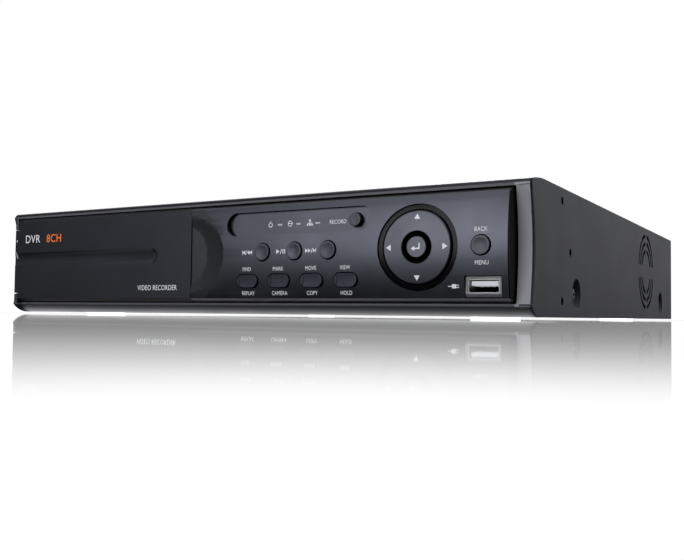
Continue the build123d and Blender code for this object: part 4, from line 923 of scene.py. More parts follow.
@dataclass
class Softener:
    """Makes copies of model nodes with their sharp edges rounded, and shows those instead.

    Attributes:
        shown: The object that stands for each node, by the node's name.
        weld: Distance under which vertices are one, in millimetres.
        flat_angle: Angle under which faces are one flat face.
        edge_angle: Angle over which an edge is rounded.
        smooth_angle: Angle under which shading runs on over an edge.
    """

    shown: dict[str, bpy.types.Object] = field(default_factory=dict)
    weld: float = 0.002
    flat_angle: float = math.radians(0.05)
    edge_angle: float = math.radians(32.0)
    smooth_angle: float = math.radians(40.0)

    def soften(
        self, node: str, radius: float, finish: Finish, slot: str, segments: int = 2
    ) -> bpy.types.Object:
        """Rounds a node's edges on a copy that replaces it.

        Args:
            node: Name of the model node.
            radius: Width of the rounding, in millimetres.
            finish: The copy's finish.
            slot: The record's material slot; not used.
            segments: Facets across the rounding.

        Returns:
            The copy.
        """
        source = frame["nodes"][node]
        piece = bpy.data.objects.new(f"{node}_finished", source.data.copy())
        bpy.context.scene.collection.objects.link(piece)
        select_only(piece)
        bpy.ops.object.mode_set(mode="EDIT")
        bpy.ops.mesh.customdata_custom_splitnormals_clear()
        bpy.ops.mesh.select_all(action="SELECT")
        bpy.ops.mesh.remove_doubles(threshold=self.weld * MM)
        bpy.ops.mesh.dissolve_limited(angle_limit=self.flat_angle)
        bpy.ops.object.mode_set(mode="OBJECT")
        apply_modifier(
            piece,
            "BEVEL",
            width=radius * MM,
            segments=segments,
            limit_method="ANGLE",
            angle_limit=self.edge_angle,
            use_clamp_overlap=True,
            miter_outer="MITER_ARC",
        )
        select_only(piece)
        bpy.ops.object.shade_smooth_by_angle(angle=self.smooth_angle)
        apply_modifier(piece, "WEIGHTED_NORMAL", mode="FACE_AREA", weight=100, keep_sharp=True)
        piece.data.materials.clear()
        piece.data.materials.append(finish.material())
        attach(piece, source["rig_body"])
        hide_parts(node)
        self.shown[node] = piece
        LOG.info("%s: softened by %.2f mm, %d faces", node, radius, len(piece.data.polygons))
        return piece

    def surface(self, node: str) -> bpy.types.Object:
        """Finds the object that shows a node.

        Args:
            node: Name of the model node.

        Returns:
            Its softened copy, or the node's own object.
        """
        return self.shown.get(node, frame["nodes"][node])


# ------------------------------------------------------------------ printed marks


class Facing(Enum):
    """The way a printed mark faces, by the turn of a flat mark from lying face up."""

    FRONT = (90.0, 0.0)
    REAR = (90.0, 180.0)


@dataclass(frozen=True)
class Stroke:
    """A filled rectangle of a sign. Its places are from the sign's middle, in millimetres.

    Attributes:
        across: Middle, across.
        up: Middle, up.
        wide: Width.
        high: Height.
        turn: Turn in degrees.
    """

    across: float
    up: float
    wide: float
    high: float
    turn: float = 0.0


@dataclass(frozen=True)
class Arrowhead(Stroke):
    """A filled triangle of a sign, which points up before its turn."""


class Printer:
    """Draws flat marks with mesh operators and lays them on the object as thin ink.

    Attributes:
        LIFT: Gap between the surface and the ink, in millimetres.
        INK: Thickness of the ink, in millimetres.
        START_GAP: How far outside the surface a mark starts, in millimetres.
        CAPITALS: Height of the capitals against the size of the letters.
        SPACING: Space between letters against the usual space.
        CURVE_STEPS: Straight parts in each curve of a letter.
        TOP_SHARE: Share of a ring's inner height above which it may be opened.
        softener: Knows which object shows each node.
    """

    LIFT = 0.015
    INK = 0.02
    START_GAP = 10.0
    CAPITALS = 0.69
    SPACING = 1.06
    CURVE_STEPS = 3
    TOP_SHARE = 0.75

    def __init__(self, softener: Softener) -> None:
        """Keeps the softener.

        Args:
            softener: Knows which object shows each node.
        """
        self.softener = softener

    def sign(self, strokes: Iterable[Stroke], x: float, z: float) -> list[bpy.types.Object]:
        """Draws the strokes of a sign.

        Args:
            strokes: The strokes.
            x: The sign's middle, across.
            z: The sign's middle, up.

        Returns:
            The flat shapes.
        """
        shapes = []
        for stroke in strokes:
            draw = self.triangle if isinstance(stroke, Arrowhead) else self.bar
            shapes.append(draw(x + stroke.across, z + stroke.up, stroke.wide, stroke.high, stroke.turn))
        return shapes

    def bar(self, x: float, z: float, wide: float, high: float, turn: float = 0.0) -> bpy.types.Object:
        """A filled rectangle.

        Args:
            x: Middle, across.
            z: Middle, up.
            wide: Width.
            high: Height.
            turn: Turn in degrees.

        Returns:
            The flat shape.
        """
        deselect_all()
        bpy.ops.mesh.primitive_plane_add(
            size=1.0, location=(x * MM, z * MM, 0.0), rotation=(0.0, 0.0, math.radians(turn))
        )
        shape = bpy.context.object
        shape.scale = (wide * MM, high * MM, 1.0)
        bpy.ops.object.transform_apply(location=True, rotation=True, scale=True)
        return shape

    def triangle(self, x: float, z: float, wide: float, high: float, turn: float) -> bpy.types.Object:
        """A filled triangle that points up before its turn.

        Args:
            x: Middle of its box, across.
            z: Middle of its box, up.
            wide: Width of its foot.
            high: Height.
            turn: Turn in degrees.

        Returns:
            The flat shape.
        """
        shape = self.bar(0.0, 0.0, wide, high)
        bpy.ops.object.mode_set(mode="EDIT")
        bpy.ops.mesh.select_all(action="DESELECT")
        bpy.ops.object.mode_set(mode="OBJECT")
        for vertex in shape.data.vertices:
            vertex.select = vertex.co.y > 0
        bpy.ops.object.mode_set(mode="EDIT")
        bpy.ops.mesh.merge(type="CENTER")
        bpy.ops.object.mode_set(mode="OBJECT")
        shape.rotation_euler = (0.0, 0.0, math.radians(turn))
        shape.location = (x * MM, z * MM, 0.0)
        bpy.ops.object.transform_apply(location=True, rotation=True, scale=True)
        return shape

    def ring(
        self, x: float, z: float, wide: float, high: float, line: float, sides: int = 24, gap: float = 0.0
    ) -> bpy.types.Object:
        """An oval line, open at its top where a gap is given.

        Args:
            x: Middle, across.
            z: Middle, up.
            wide: Outer width.
            high: Outer height.
            line: Thickness of the line.
            sides: Number of straight parts.
            gap: Width of the opening at the top.

        Returns:
            The flat shape.
        """
        deselect_all()
        bpy.ops.mesh.primitive_circle_add(vertices=sides, radius=0.5, fill_type="NGON", location=(0, 0, 0))
        shape = bpy.context.object
        shape.scale = (wide * MM, high * MM, 1.0)
        bpy.ops.object.transform_apply(location=True, rotation=True, scale=True)
        bpy.ops.object.mode_set(mode="EDIT")
        bpy.ops.mesh.select_all(action="SELECT")
        bpy.ops.mesh.inset(thickness=line * MM, depth=0.0)
        bpy.ops.mesh.delete(type="FACE")
        bpy.ops.object.mode_set(mode="OBJECT")
        if gap:
            top = (high / 2 - line) * self.TOP_SHARE * MM
            for face in shape.data.polygons:
                face.select = face.center.y > top and abs(face.center.x) < gap / 2 * MM
            bpy.ops.object.mode_set(mode="EDIT")
            bpy.ops.mesh.select_mode(type="FACE")
            bpy.ops.mesh.delete(type="FACE")
            bpy.ops.mesh.select_mode(type="VERT")
            bpy.ops.object.mode_set(mode="OBJECT")
        shape.location = (x * MM, z * MM, 0.0)
        bpy.ops.object.transform_apply(location=True, rotation=True, scale=True)
        return shape

    def text(
        self, words: str, x: float, z: float, high: float, squeeze: float = 0.82, turn: float = 0.0
    ) -> bpy.types.Object:
        """Plain lettering made into a flat mesh.

        Args:
            words: What it says.
            x: Middle, across.
            z: Middle, up.
            high: Height of its capitals.
            squeeze: Width of the letters against their usual width.
            turn: Turn in degrees.

        Returns:
            The flat shape.
        """
        deselect_all()
        bpy.ops.object.text_add(location=(0, 0, 0))
        shape = bpy.context.object
        shape.data.body = words
        shape.data.size = high * MM / self.CAPITALS
        shape.data.align_x = "CENTER"
        shape.data.resolution_u = self.CURVE_STEPS
        shape.data.space_character = self.SPACING
        bpy.ops.object.convert(target="MESH")
        shape = bpy.context.object
        middle = sum((Vector(corner) for corner in shape.bound_box), Vector()) / 8
        shape.data.transform(Matrix.Translation(-middle))
        shape.scale = (squeeze, 1.0, 1.0)
        bpy.ops.object.transform_apply(location=False, rotation=False, scale=True)
        shape.rotation_euler = (0.0, 0.0, math.radians(turn))
        shape.location = (x * MM, z * MM, 0.0)
        bpy.ops.object.transform_apply(location=True, rotation=True, scale=True)
        return shape

    def lay(
        self,
        name: str,
        shapes: Iterable[bpy.types.Object],
        host: str,
        finish: Finish,
        facing: Facing = Facing.FRONT,
    ) -> bpy.types.Object:
        """Joins flat shapes, stands them up and lays them on a node as ink.

        Args:
            name: The piece's name.
            shapes: Flat shapes drawn in the maker's X and Z, or in -X and Z for the rear.
            host: The node that carries the mark.
            finish: The ink.
            facing: The face of the recorder that carries it.

        Returns:
            The printed piece.
        """
        parts = list(shapes)
        select_only(*parts)
        if len(parts) > 1:
            bpy.ops.object.join()
        piece = bpy.context.object
        piece.name = name
        piece.data.name = name
        tilt, spin = (math.radians(turn) for turn in facing.value)
        outward = -1.0 if facing is Facing.FRONT else 1.0
        target = self.softener.surface(host)
        low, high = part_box(host)
        away = (low.y if facing is Facing.FRONT else high.y) + outward * self.START_GAP * MM
        piece.rotation_euler = (tilt, 0.0, spin)
        piece.location = (0.0, away, PLACE.underside)
        bpy.ops.object.transform_apply(location=True, rotation=True, scale=True)
        apply_modifier(
            piece,
            "SHRINKWRAP",
            target=target,
            wrap_method="PROJECT",
            use_project_y=True,
            use_negative_direction=True,
            use_positive_direction=True,
            offset=self.LIFT * MM,
            wrap_mode="ABOVE_SURFACE",
        )
        apply_modifier(piece, "SOLIDIFY", thickness=self.INK * MM, offset=1.0, use_even_offset=False)
        piece.data.materials.clear()
        piece.data.materials.append(finish.material())
        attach(piece, frame["nodes"][host]["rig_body"])
        LOG.info("%s: printed on %s", name, host)
        return piece


# ------------------------------------------------------------------ sub-assemblies


@dataclass
class Casing:
    """Folded steel cover, base pan, screws and feet."""

    def build(self) -> None:
        """Dresses the steelwork."""
        dress(POWDER_COAT, "top_cover")
        dress(ZINC, "base_pan", "drive_bracket")
        dress(BLACK_OXIDE, "cover_screws")
        dress(SILICONE, "feet")


@dataclass
class FrontFrame:
    """Moulded front with its rolled rails, and the light trim round the recess."""

    softener: Softener
    frame_edge: float = 0.25
    trim_edge: float = 0.15

    def build(self) -> None:
        """Softens and dresses the mouldings."""
        self.softener.soften("bezel_frame", self.frame_edge, BEZEL, "bezel_plastic")
        self.softener.soften("trim_frame", self.trim_edge, TRIM, "trim_plastic")
        dress(PLATED_STEEL, "hinge_pins")


@dataclass
class Door:
    """Flap over the disc drive, with its printed name and channel count."""

    softener: Softener
    printer: Printer
    edge: float = 0.22
    name_x: float = -131.5
    count_x: float = -115.0
    name_z: float = 39.9
    name_high: float = 4.3
    name_squeeze: float = 0.95
    kind_x: float = -40.2
    kind_z: float = 12.5
    kind_high: float = 2.5
    pull_x: float = -144.9
    pull_word_z: float = 31.0
    pull_arrow_z: float = 39.0
    pull_high: float = 1.1
    pull_arrow: tuple[float, float] = (1.2, 1.4)

    def build(self) -> None:
        """Softens the flap and prints on it."""
        self.softener.soften("door", self.edge, DOOR, "door_plastic")
        draw = self.printer
        for name, words, x, colour in (
            ("print_dvr", "DVR", self.name_x, INK_WHITE),
            ("print_count", "8CH", self.count_x, INK_AMBER),
        ):
            title = draw.text(words, x, self.name_z, self.name_high, self.name_squeeze)
            draw.lay(name, [title], "door", colour)
        kind = draw.text("VIDEO RECORDER", self.kind_x, self.kind_z, self.kind_high)
        draw.lay("print_video_recorder", [kind], "door", INK_WHITE)
        pull = [
            draw.triangle(self.pull_x, self.pull_arrow_z, *self.pull_arrow, 90.0),
            draw.text("OPEN", self.pull_x, self.pull_word_z, self.pull_high, turn=90.0),
        ]
        draw.lay("print_open", pull, "door", INK_WHITE)


# Width, height and turn of what the signs share
SLASH = (0.28, 2.4, -20.0)
RUN = (1.9, 1.4)
STOP = (0.3, 1.9)

# Signs beside the keys, drawn around their middles
REWIND_SIGN = (
    Stroke(-2.55, 0.0, *STOP),
    Arrowhead(-1.75, 0.0, 1.9, 1.3, 90.0),
    Stroke(-0.45, 0.0, *SLASH),
    Arrowhead(0.75, 0.0, *RUN, 90.0),
    Arrowhead(2.2, 0.0, *RUN, 90.0),
)
PLAY_SIGN = (
    Arrowhead(-1.6, 0.0, 2.1, 1.7, -90.0),
    Stroke(0.1, 0.0, *SLASH),
    Stroke(1.2, 0.0, 0.42, 2.0),
    Stroke(2.1, 0.0, 0.42, 2.0),
)
FORWARD_SIGN = (
    Arrowhead(-2.2, 0.0, *RUN, -90.0),
    Arrowhead(-0.75, 0.0, *RUN, -90.0),
    Stroke(0.5, 0.0, *SLASH),
    Arrowhead(1.8, 0.0, 1.9, 1.3, -90.0),
    Stroke(2.6, 0.0, *STOP),
)
NETWORK_SIGN = (
    Stroke(0.0, 1.0, 1.0, 0.9),
    Stroke(0.0, -0.05, 0.26, 1.2),
    Stroke(0.0, -0.2, 2.7, 0.26),
    *(Stroke(side * 1.2, -0.95, 0.85, 0.85) for side in (-1, 0, 1)),
)
ENTER_SIGN = (
    Stroke(0.2, -0.6, 2.6, 0.55),
    Stroke(1.35, 0.5, 0.5, 2.4),
    Arrowhead(-1.6, -0.6, 2.0, 1.6, 90.0),
)
PLUG_SIGN = (
    Stroke(-1.7, 0.0, 1.8, 0.3),
    Stroke(0.0, 0.0, 1.8, 1.7),
    Stroke(1.5, 0.45, 1.3, 0.32),
    Stroke(1.5, -0.45, 1.3, 0.32),
)


@dataclass
class ControlPanel:
    """Bulged key panel with its status window, keys and printed signs."""

    softener: Softener
    printer: Printer
    edge: float = 0.18
    window_edge: float = 0.15
    key_edge: float = 0.12
    sign_high: float = 1.75
    above_oval: float = 5.4
    below_oval: float = 5.55
    above_menu: float = 6.4
    below_menu: float = 6.9
    menu_shift: float = 0.3
    power_x: float = 27.75
    disk_x: float = 38.5
    network_x: float = 49.05
    record_x: float = 63.6
    status_lift: float = 0.2
    round_keys: tuple[str, ...] = (
        "rewind_button",
        "play_button",
        "forward_button",
        "menu_button",
        "record_button",
    )
    ovals: tuple[tuple[str, str, str], ...] = (
        ("find_button", "FIND", "REPLAY"),
        ("mark_button", "MARK", "CAMERA"),
        ("move_button", "MOVE", "COPY"),
        ("view_button", "VIEW", "HOLD"),
    )
    running: tuple[tuple[str, float, tuple[Stroke, ...]], ...] = (
        ("rewind", 8.7, REWIND_SIGN),
        ("play", 7.3, PLAY_SIGN),
        ("forward", 8.8, FORWARD_SIGN),
    )

    def build(self) -> None:
        """Softens the mouldings, then prints the signs."""
        soften = self.softener.soften
        soften("control_panel", self.edge, PANEL, "panel_plastic")
        soften("status_window", self.window_edge, WINDOW, "window_plastic")
        dress(LAMP_GUIDE, "light_pipes")
        for key in self.round_keys:
            soften(key, self.key_edge, KEY, "key_plastic")
        for key, _, _ in self.ovals:
            soften(key, self.key_edge, KEY_DARK, "key_dark")
        self.print_oval_words()
        self.print_running_signs()
        self.print_status_signs()

    def print_word(self, words: str, x: float, z: float, host: str = "control_panel") -> None:
        """Prints a word.

        Args:
            words: What it says.
            x: Middle, across.
            z: Middle, up.
            host: The node that carries it.
        """
        word = self.printer.text(words, x, z, self.sign_high)
        self.printer.lay(f"print_{words.lower()}", [word], host, INK_WHITE)

    def print_oval_words(self) -> None:
        """Words above and below the oval keys and the menu key."""
        for key, above, below in self.ovals:
            x, z = centre_of(key)
            self.print_word(above, x, z + self.above_oval)
            self.print_word(below, x, z - self.below_oval)
        x, z = centre_of("menu_button")
        self.print_word("BACK", x, z + self.above_menu)
        self.print_word("MENU", x + self.menu_shift, z - self.below_menu)

    def print_running_signs(self) -> None:
        """Signs left of the round keys: back, play or pause, forward."""
        for key, left, strokes in self.running:
            x, z = centre_of(f"{key}_button")
            shapes = self.printer.sign(strokes, x - left, z)
            self.printer.lay(f"sign_{key}", shapes, "control_panel", INK_WHITE)

    def print_status_signs(self) -> None:
        """Power, disk, network and record signs on the status window."""
        draw = self.printer
        z = centre_of("light_pipes")[1] + self.status_lift
        power = [
            draw.ring(self.power_x, z - 0.15, 2.3, 2.3, 0.32, gap=1.1),
            draw.bar(self.power_x, z + 0.9, 0.34, 1.3),
        ]
        draw.lay("sign_power", power, "status_window", INK_WHITE)
        disk = [
            draw.ring(self.disk_x, z, 2.5, 2.7, 0.3),
            draw.bar(self.disk_x, z + 0.1, 2.2, 0.32),
        ]
        draw.lay("sign_disk", disk, "status_window", INK_WHITE)
        network = draw.sign(NETWORK_SIGN, self.network_x, z)
        draw.lay("sign_network", network, "status_window", INK_WHITE)
        self.print_word("RECORD", self.record_x, z - self.status_lift, "status_window")


@dataclass
class NavigationPad:
    """Four-way pad in its gloss rings, with the enter key at its middle."""

    softener: Softener
    printer: Printer
    ring_edge: float = 0.12
    reach: float = 12.75
    arrow_wide: float = 2.6
    arrow_high: float = 2.2
    arrows: tuple[tuple[str, int, int, float], ...] = (
        ("up", 0, 1, 0.0),
        ("left", -1, 0, 90.0),
        ("down", 0, -1, 180.0),
        ("right", 1, 0, -90.0),
    )

    def build(self) -> None:
        """Softens the mouldings and prints the arrows."""
        for ring in ("dpad_outer_ring", "dpad_inner_ring"):
            self.softener.soften(ring, self.ring_edge, GLOSS_BLACK, "gloss_black")
        dress(PAD, "dpad_rocker", "enter_button")
        dress(PORT_BLACK, "dpad_gimbal")
        x, z = centre_of("dpad_rocker")
        draw = self.printer
        for name, right, up, turn in self.arrows:
            arrow = draw.triangle(
                x + right * self.reach, z + up * self.reach, self.arrow_wide, self.arrow_high, turn
            )
            draw.lay(f"arrow_{name}", [arrow], "dpad_rocker", INK_WHITE)
        draw.lay("sign_enter", draw.sign(ENTER_SIGN, x, z), "enter_button", INK_WHITE)


@dataclass
class FrontSocket:
    """Front serial socket: plate, shell and tongue, with a plain plug sign beside it."""

    softener: Softener
    printer: Printer
    edge: float = 0.15
    sign_x: float = 119.3
    sign_lift: float = 0.2

    def build(self) -> None:
        """Softens the plate and prints the sign."""
        self.softener.soften("usb_surround", self.edge, SOCKET_PLATE, "socket_plate")
        dress(SOCKET_STEEL, "usb_shell")
        dress(TONGUE_WHITE, "usb_tongue")
        z = centre_of("usb_surround")[1] + self.sign_lift
        plug = self.printer.sign(PLUG_SIGN, self.sign_x, z)
        self.printer.lay("sign_plug", plug, "control_panel", INK_WHITE)


@dataclass
class Electronics:
    """Boards and what is soldered to them or leads from them."""

    def build(self) -> None:
        """Dresses the boards and their parts."""
        dress(BOARD_DARK, "front_board")
        dress(BOARD_GREEN, "main_board")
        dress(RESIN, "tact_switches", "board_chips")
        dress(LAMP, "status_leds")
        dress(RIBBON, "ribbon_cable")
        dress(BRASS, "board_standoffs")
        dress(PLATED_STEEL, "inner_screws")
        dress(ANODISED, "heatsink")
        dress(SLEEVE, "capacitors")
        dress(PORT_BLACK, "cell_holder")
        dress(NICKEL, "coin_cell")
        dress(RED_LEAD, "drive_leads")


@dataclass
class Drives:
    """Hard drive, and the disc drive behind the flap."""

    softener: Softener
    front_edge: float = 0.2
    key_edge: float = 0.15

    def build(self) -> None:
        """Dresses both drives."""
        dress(CAST, "hard_drive")
        dress(ZINC, "optical_drive")
        self.softener.soften("optical_bezel", self.front_edge, PORT_BLACK, "port_black")
        self.softener.soften("eject_button", self.key_edge, PORT_BLACK, "port_black")


@dataclass
class Fan:
    """Fan behind the side vent."""

    def build(self) -> None:
        """Dresses the frame and the rotor."""
        dress(FAN_BLACK, "fan_frame", "fan_rotor")


@dataclass
class RearPanel:
    """Jacks, sockets and the printed signs beside them."""

    printer: Printer
    sign_high: float = 2.4
    rows: tuple[float, float] = (19.0, 39.0)
    columns: int = 4
    first_column: float = 114.0
    column_step: float = 19.0
    number_across: float = -8.6
    number_up: float = 4.6
    signs: tuple[tuple[str, float, float], ...] = (
        ("VIDEO IN", 85.5, 49.4),
        ("VIDEO OUT", 38.0, 28.6),
        ("AUDIO IN", 12.0, 40.6),
        ("OUT", -9.0, 25.2),
    )
    sockets: tuple[tuple[str, str, float], ...] = (
        ("network_port", "NETWORK", 2.6),
        ("power_jack", "DC 12V", 2.6),
        ("terminal_block", "ALARM", 2.6),
        ("hdmi_port", "MONITOR", 3.0),
    )

    def build(self) -> None:
        """Dresses the jacks and prints the signs."""
        dress(NICKEL, "bnc_shells", "audio_jacks")
        dress(WHITE_PLASTIC, "bnc_insulators")
        dress(PORT_BLACK, "bnc_bodies", "power_jack")
        dress(AUDIO_RED, "audio_cores")
        dress(TINNED, "vga_port", "hdmi_port", "network_port")
        dress(PORT_BLUE, "vga_insert")
        dress(TERMINAL_GREEN, "terminal_block")
        dress(PLATED_STEEL, "earth_screw")
        for words, x, z in self.signs:
            self.print_sign(words, x, z)
        for column in range(self.columns):
            x = self.first_column - self.column_step * column + self.number_across
            for row, z in enumerate(self.rows):
                self.print_sign(str(2 * column + 2 - row), x, z + self.number_up)
        for node, words, lift in self.sockets:
            top = (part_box(node)[1].z - PLACE.underside) / MM
            self.print_sign(words, centre_of(node)[0], top + lift)

    def print_sign(self, words: str, x: float, z: float) -> None:
        """Prints a word on the rear plate.

        Args:
            words: What it says.
            x: Middle, across.
            z: Middle, up.
        """
        name = f"print_rear_{words.lower().replace(' ', '_')}"
        sign = self.printer.text(words, -x, z, self.sign_high)
        self.printer.lay(name, [sign], "base_pan", INK_BLACK, Facing.REAR)


# ------------------------------------------------------------------ studio


WHITE = (1.0, 1.0, 1.0)


@dataclass
class Softbox:
    """A rectangular studio light.

    Attributes:
        name: Name of the light.
        place: Where it stands, in metres.
        aim: What it points at, in metres.
        size: Width and height, in metres.
        power: Power in watts.
        colour: Colour of the light.
    """

    name: str
    place: tuple[float, float, float]
    aim: tuple[float, float, float]
    size: tuple[float, float]
    power: float
    colour: Colour = WHITE

    def build(self) -> None:
        """Adds the light to the scene."""
        light = bpy.data.lights.new(self.name, "AREA")
        light.shape = "RECTANGLE"
        light.size, light.size_y = self.size
        light.energy = self.power
        light.color = self.colour
        lamp = bpy.data.objects.new(self.name, light)
        lamp.location = self.place
        lamp.rotation_euler = (Vector(self.aim) - Vector(self.place)).to_track_quat("-Z", "Y").to_euler()
        lamp.visible_camera = False
        bpy.context.scene.collection.objects.link(lamp)


@dataclass
class Studio:
    """Pale floor, white surround, soft lights and the camera.

    Attributes:
        camera_place: Where the camera stands, in the maker's millimetres.
        yaw: How far it looks to the left, in degrees.
        pitch: How far it looks up, in degrees.
        roll: How far it leans, in degrees.
        lens: Focal length, in millimetres.
        sensor: Width of the sensor, in millimetres.
        clip: Nearest and farthest that the camera sees, in metres.
        floor_size: Side of the floor, in metres.
        floor_tone: Shade of the floor.
        floor_lift: Share of the floor's brightness that shadows don't touch.
        bright: Facing values between which the floor turns plain white.
        mirror: Most that the floor mirrors.
        mirror_from: Facing value where it starts to mirror.
        mirror_reach: Distances between which the mirror fades, in metres.
        mirror_roughness: Roughness of the floor's mirror.
        strip_from: Where the light under the casing starts, in the maker's Y.
        strip_to: Where it ends.
        strip_side: Where it ends at either side.
        strip: Its strength.
        under_tone: Shade that the rest of the floor has in reflections.
        surround: Strength of the surround in reflections.
        behind: Upright part of the surround that stays white in reflections, as a range of Y.
        softboxes: The lights.
    """

    camera_place: tuple[float, float, float] = (251.592, -321.509, -0.233)
    yaw: float = 30.149
    pitch: float = 2.389
    roll: float = 0.686
    lens: float = 44.73
    sensor: float = 36.0
    clip: tuple[float, float] = (0.005, 100.0)
    floor_size: float = 40.0
    floor_tone: float = 0.80
    floor_lift: float = 0.50
    bright: tuple[float, float] = (0.55, 0.80)
    mirror: float = 0.80
    mirror_from: float = 0.90
    mirror_reach: tuple[float, float] = (0.50, 0.90)
    mirror_roughness: float = 0.02
    strip_from: tuple[float, float] = (-1.0, 9.0)
    strip_to: tuple[float, float] = (40.0, 70.0)
    strip_side: tuple[float, float] = (146.0, 150.0)
    strip: float = 1.3
    under_tone: float = 0.05
    surround: float = 0.10
    behind: tuple[float, float] = (0.25, 0.55)
    softboxes: tuple[Softbox, ...] = (
        Softbox(
            name="front_softbox",
            place=(-0.36, -1.60, 0.42),
            aim=(0.05, -0.16, 0.05),
            size=(1.1, 0.80),
            power=9.0,
            colour=(0.95, 0.98, 1.06),
        ),
        Softbox(
            name="overhead_front_softbox",
            place=(0.1, -0.65, 1.50),
            aim=(0.05, -0.16, 0.03),
            size=(1.4, 0.8),
            power=5.0,
            colour=(0.98, 0.99, 1.03),
        ),
        Softbox(
            name="right_softbox",
            place=(1.3, 0.2, 0.6),
            aim=(0.1, 0.0, 0.03),
            size=(0.9, 0.7),
            power=2.6,
            colour=(0.94, 0.98, 1.08),
        ),
        Softbox(
            name="rear_softbox",
            place=(-0.25, 1.35, 0.55),
            aim=(0.0, 0.17, 0.03),
            size=(0.7, 0.8),
            power=9.0,
            colour=(0.97, 0.99, 1.04),
        ),
    )

    def build(self) -> None:
        """Builds the studio."""
        self.build_camera()
        self.build_floor()
        self.build_surround()
        for softbox in self.softboxes:
            softbox.build()
        bpy.context.scene.view_settings.view_transform = "Standard"
        bpy.context.scene.view_settings.look = "None"

    def build_camera(self) -> None:
        """Stands the camera low at the front right, at about floor level."""
        yaw, pitch, roll = (math.radians(turn) for turn in (self.yaw, self.pitch, self.roll))
        level_part = math.cos(pitch)
        forward = Vector((-math.sin(yaw) * level_part, math.cos(yaw) * level_part, math.sin(pitch)))
        level = forward.cross(Vector((0.0, 0.0, 1.0))).normalized()
        upright = level.cross(forward)
        right = level * math.cos(roll) + upright * math.sin(roll)
        up = upright * math.cos(roll) - level * math.sin(roll)
        lens = bpy.data.cameras.new("camera")
        lens.lens = self.lens
        lens.sensor_width = self.sensor
        lens.clip_start, lens.clip_end = self.clip
        camera = bpy.data.objects.new("camera", lens)
        turn = Matrix((right, up, -forward)).transposed().to_4x4()
        camera.matrix_world = Matrix.Translation(PLACE.point(*self.camera_place)) @ turn
        bpy.context.scene.collection.objects.link(camera)
        bpy.context.scene.camera = camera

    def build_floor(self) -> None:
        """Lays a pale floor that mirrors faintly at a low glance."""
        deselect_all()
        bpy.ops.mesh.primitive_plane_add(size=self.floor_size, location=(0.0, 0.0, CAD_BOX[0].z))
        floor = bpy.context.object
        floor.name = "studio_floor"
        made = bpy.data.materials.new("pale_floor")
        made.use_nodes = True
        graph = Graph(made.node_tree)
        where = graph.node("ShaderNodeTexCoord").outputs["Object"]
        straight = graph.node("ShaderNodeLightPath").outputs["Is Camera Ray"]
        both = graph.node(
            "ShaderNodeMixShader",
            {0: straight, 1: self.floor_in_reflections(graph, where), 2: self.floor_seen(graph, where)},
        ).outputs[0]
        graph.node("ShaderNodeOutputMaterial", {"Surface": both})
        floor.data.materials.append(made)

    def floor_seen(self, graph: Graph, where: bpy.types.NodeSocket) -> bpy.types.NodeSocket:
        """The floor as the camera sees it: matt from above, white and faintly mirroring from low down.

        Args:
            graph: The floor's graph.
            where: Object coordinates.

        Returns:
            The shader.
        """
        facing = graph.node("ShaderNodeLayerWeight", {"Blend": 0.5}).outputs["Facing"]
        shaded = graph.node("ShaderNodeBsdfDiffuse", {"Color": opaque((self.floor_tone,) * 3)}).outputs[0]
        white = graph.node("ShaderNodeEmission", {"Color": opaque(WHITE), "Strength": 1.0}).outputs[0]
        matt = graph.node("ShaderNodeMixShader", {0: self.floor_lift, 1: shaded, 2: white}).outputs[0]
        low_glance = graph.ramp(facing, self.bright, (0.0, 1.0))
        pale = graph.node("ShaderNodeMixShader", {0: low_glance, 1: matt, 2: white}).outputs[0]
        gloss = graph.node(
            "ShaderNodeBsdfGlossy", {"Color": opaque(WHITE), "Roughness": self.mirror_roughness}
        ).outputs[0]
        away = graph.vector("LENGTH", where).outputs["Value"]
        shine = graph.math(
            "MULTIPLY",
            graph.ramp(facing, (self.mirror_from, 1.0), (0.0, self.mirror)),
            graph.ramp(away, self.mirror_reach, (1.0, 0.0)),
        )
        return graph.node("ShaderNodeMixShader", {0: shine, 1: pale, 2: gloss}).outputs[0]

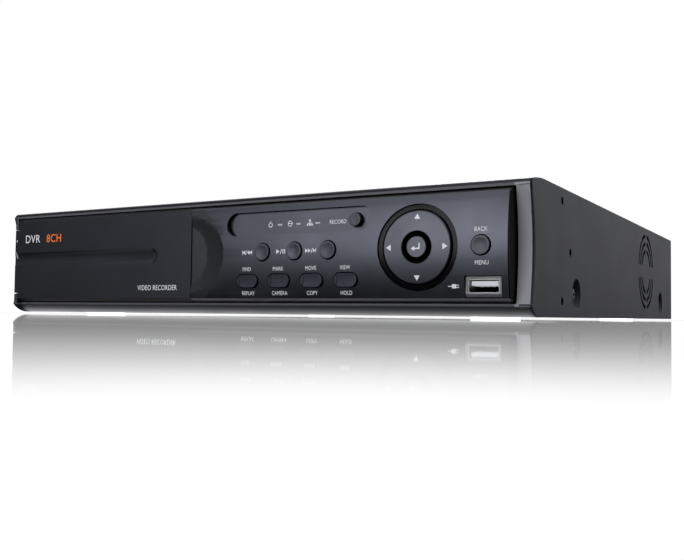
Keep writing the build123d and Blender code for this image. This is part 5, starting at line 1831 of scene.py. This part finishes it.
    def floor_in_reflections(self, graph: Graph, where: bpy.types.NodeSocket) -> bpy.types.NodeSocket:
        """The floor as the object mirrors it: dark, with a light strip under the casing's front.

        Args:
            graph: The floor's graph.
            where: Object coordinates.

        Returns:
            The shader.
        """
        split = graph.node("ShaderNodeSeparateXYZ", {0: where})
        sideways = graph.math("ABSOLUTE", split.outputs["X"])
        starts, ends = (tuple(PLACE.y(y) for y in reach) for reach in (self.strip_from, self.strip_to))
        side = tuple(PLACE.x(x) for x in self.strip_side)
        across = graph.math(
            "MULTIPLY",
            graph.ramp(split.outputs["Y"], starts, (0.0, 1.0)),
            graph.ramp(sideways, side, (1.0, 0.0)),
        )
        near = graph.math("MULTIPLY", across, graph.ramp(split.outputs["Y"], ends, (1.0, 0.0)))
        dark = graph.node("ShaderNodeBsdfDiffuse", {"Color": opaque((self.under_tone,) * 3)}).outputs[0]
        strip = graph.node("ShaderNodeEmission", {"Color": opaque(WHITE), "Strength": self.strip}).outputs[0]
        return graph.node("ShaderNodeMixShader", {0: near, 1: dark, 2: strip}).outputs[0]

    def build_surround(self) -> None:
        """Sets a white surround that is dim in reflections."""
        world = bpy.data.worlds.new("studio_surround")
        bpy.context.scene.world = world
        world.use_nodes = True
        graph = Graph(world.node_tree)
        white, dim = (
            graph.node("ShaderNodeBackground", {"Color": opaque(WHITE), "Strength": strength}).outputs[0]
            for strength in (1.0, self.surround)
        )
        toward = graph.node("ShaderNodeTexCoord").outputs["Generated"]
        back = graph.node("ShaderNodeSeparateXYZ", {0: toward}).outputs["Y"]
        path = graph.node("ShaderNodeLightPath")
        bent = graph.math("MAXIMUM", path.outputs["Is Glossy Ray"], path.outputs["Is Transmission Ray"])
        mirrored = graph.math("MULTIPLY", graph.ramp(back, self.behind, (0.0, 1.0)), bent)
        whitened = graph.math("MAXIMUM", mirrored, path.outputs["Is Camera Ray"])
        both = graph.node("ShaderNodeMixShader", {0: whitened, 1: dim, 2: white}).outputs[0]
        graph.node("ShaderNodeOutputWorld", {"Surface": both})


def main() -> None:
    """Builds the recorder's looks, sub-assembly by sub-assembly, and the studio."""
    logging.basicConfig(level=logging.INFO, format="%(name)s: %(message)s")
    deselect_all()
    softener = Softener()
    printer = Printer(softener)
    Studio().build()
    Casing().build()
    FrontFrame(softener).build()
    Door(softener, printer).build()
    ControlPanel(softener, printer).build()
    NavigationPad(softener, printer).build()
    FrontSocket(softener, printer).build()
    Electronics().build()
    Drives(softener).build()
    Fan().build()
    RearPanel(printer).build()
    deselect_all()


if __name__ == "__main__":
    main()
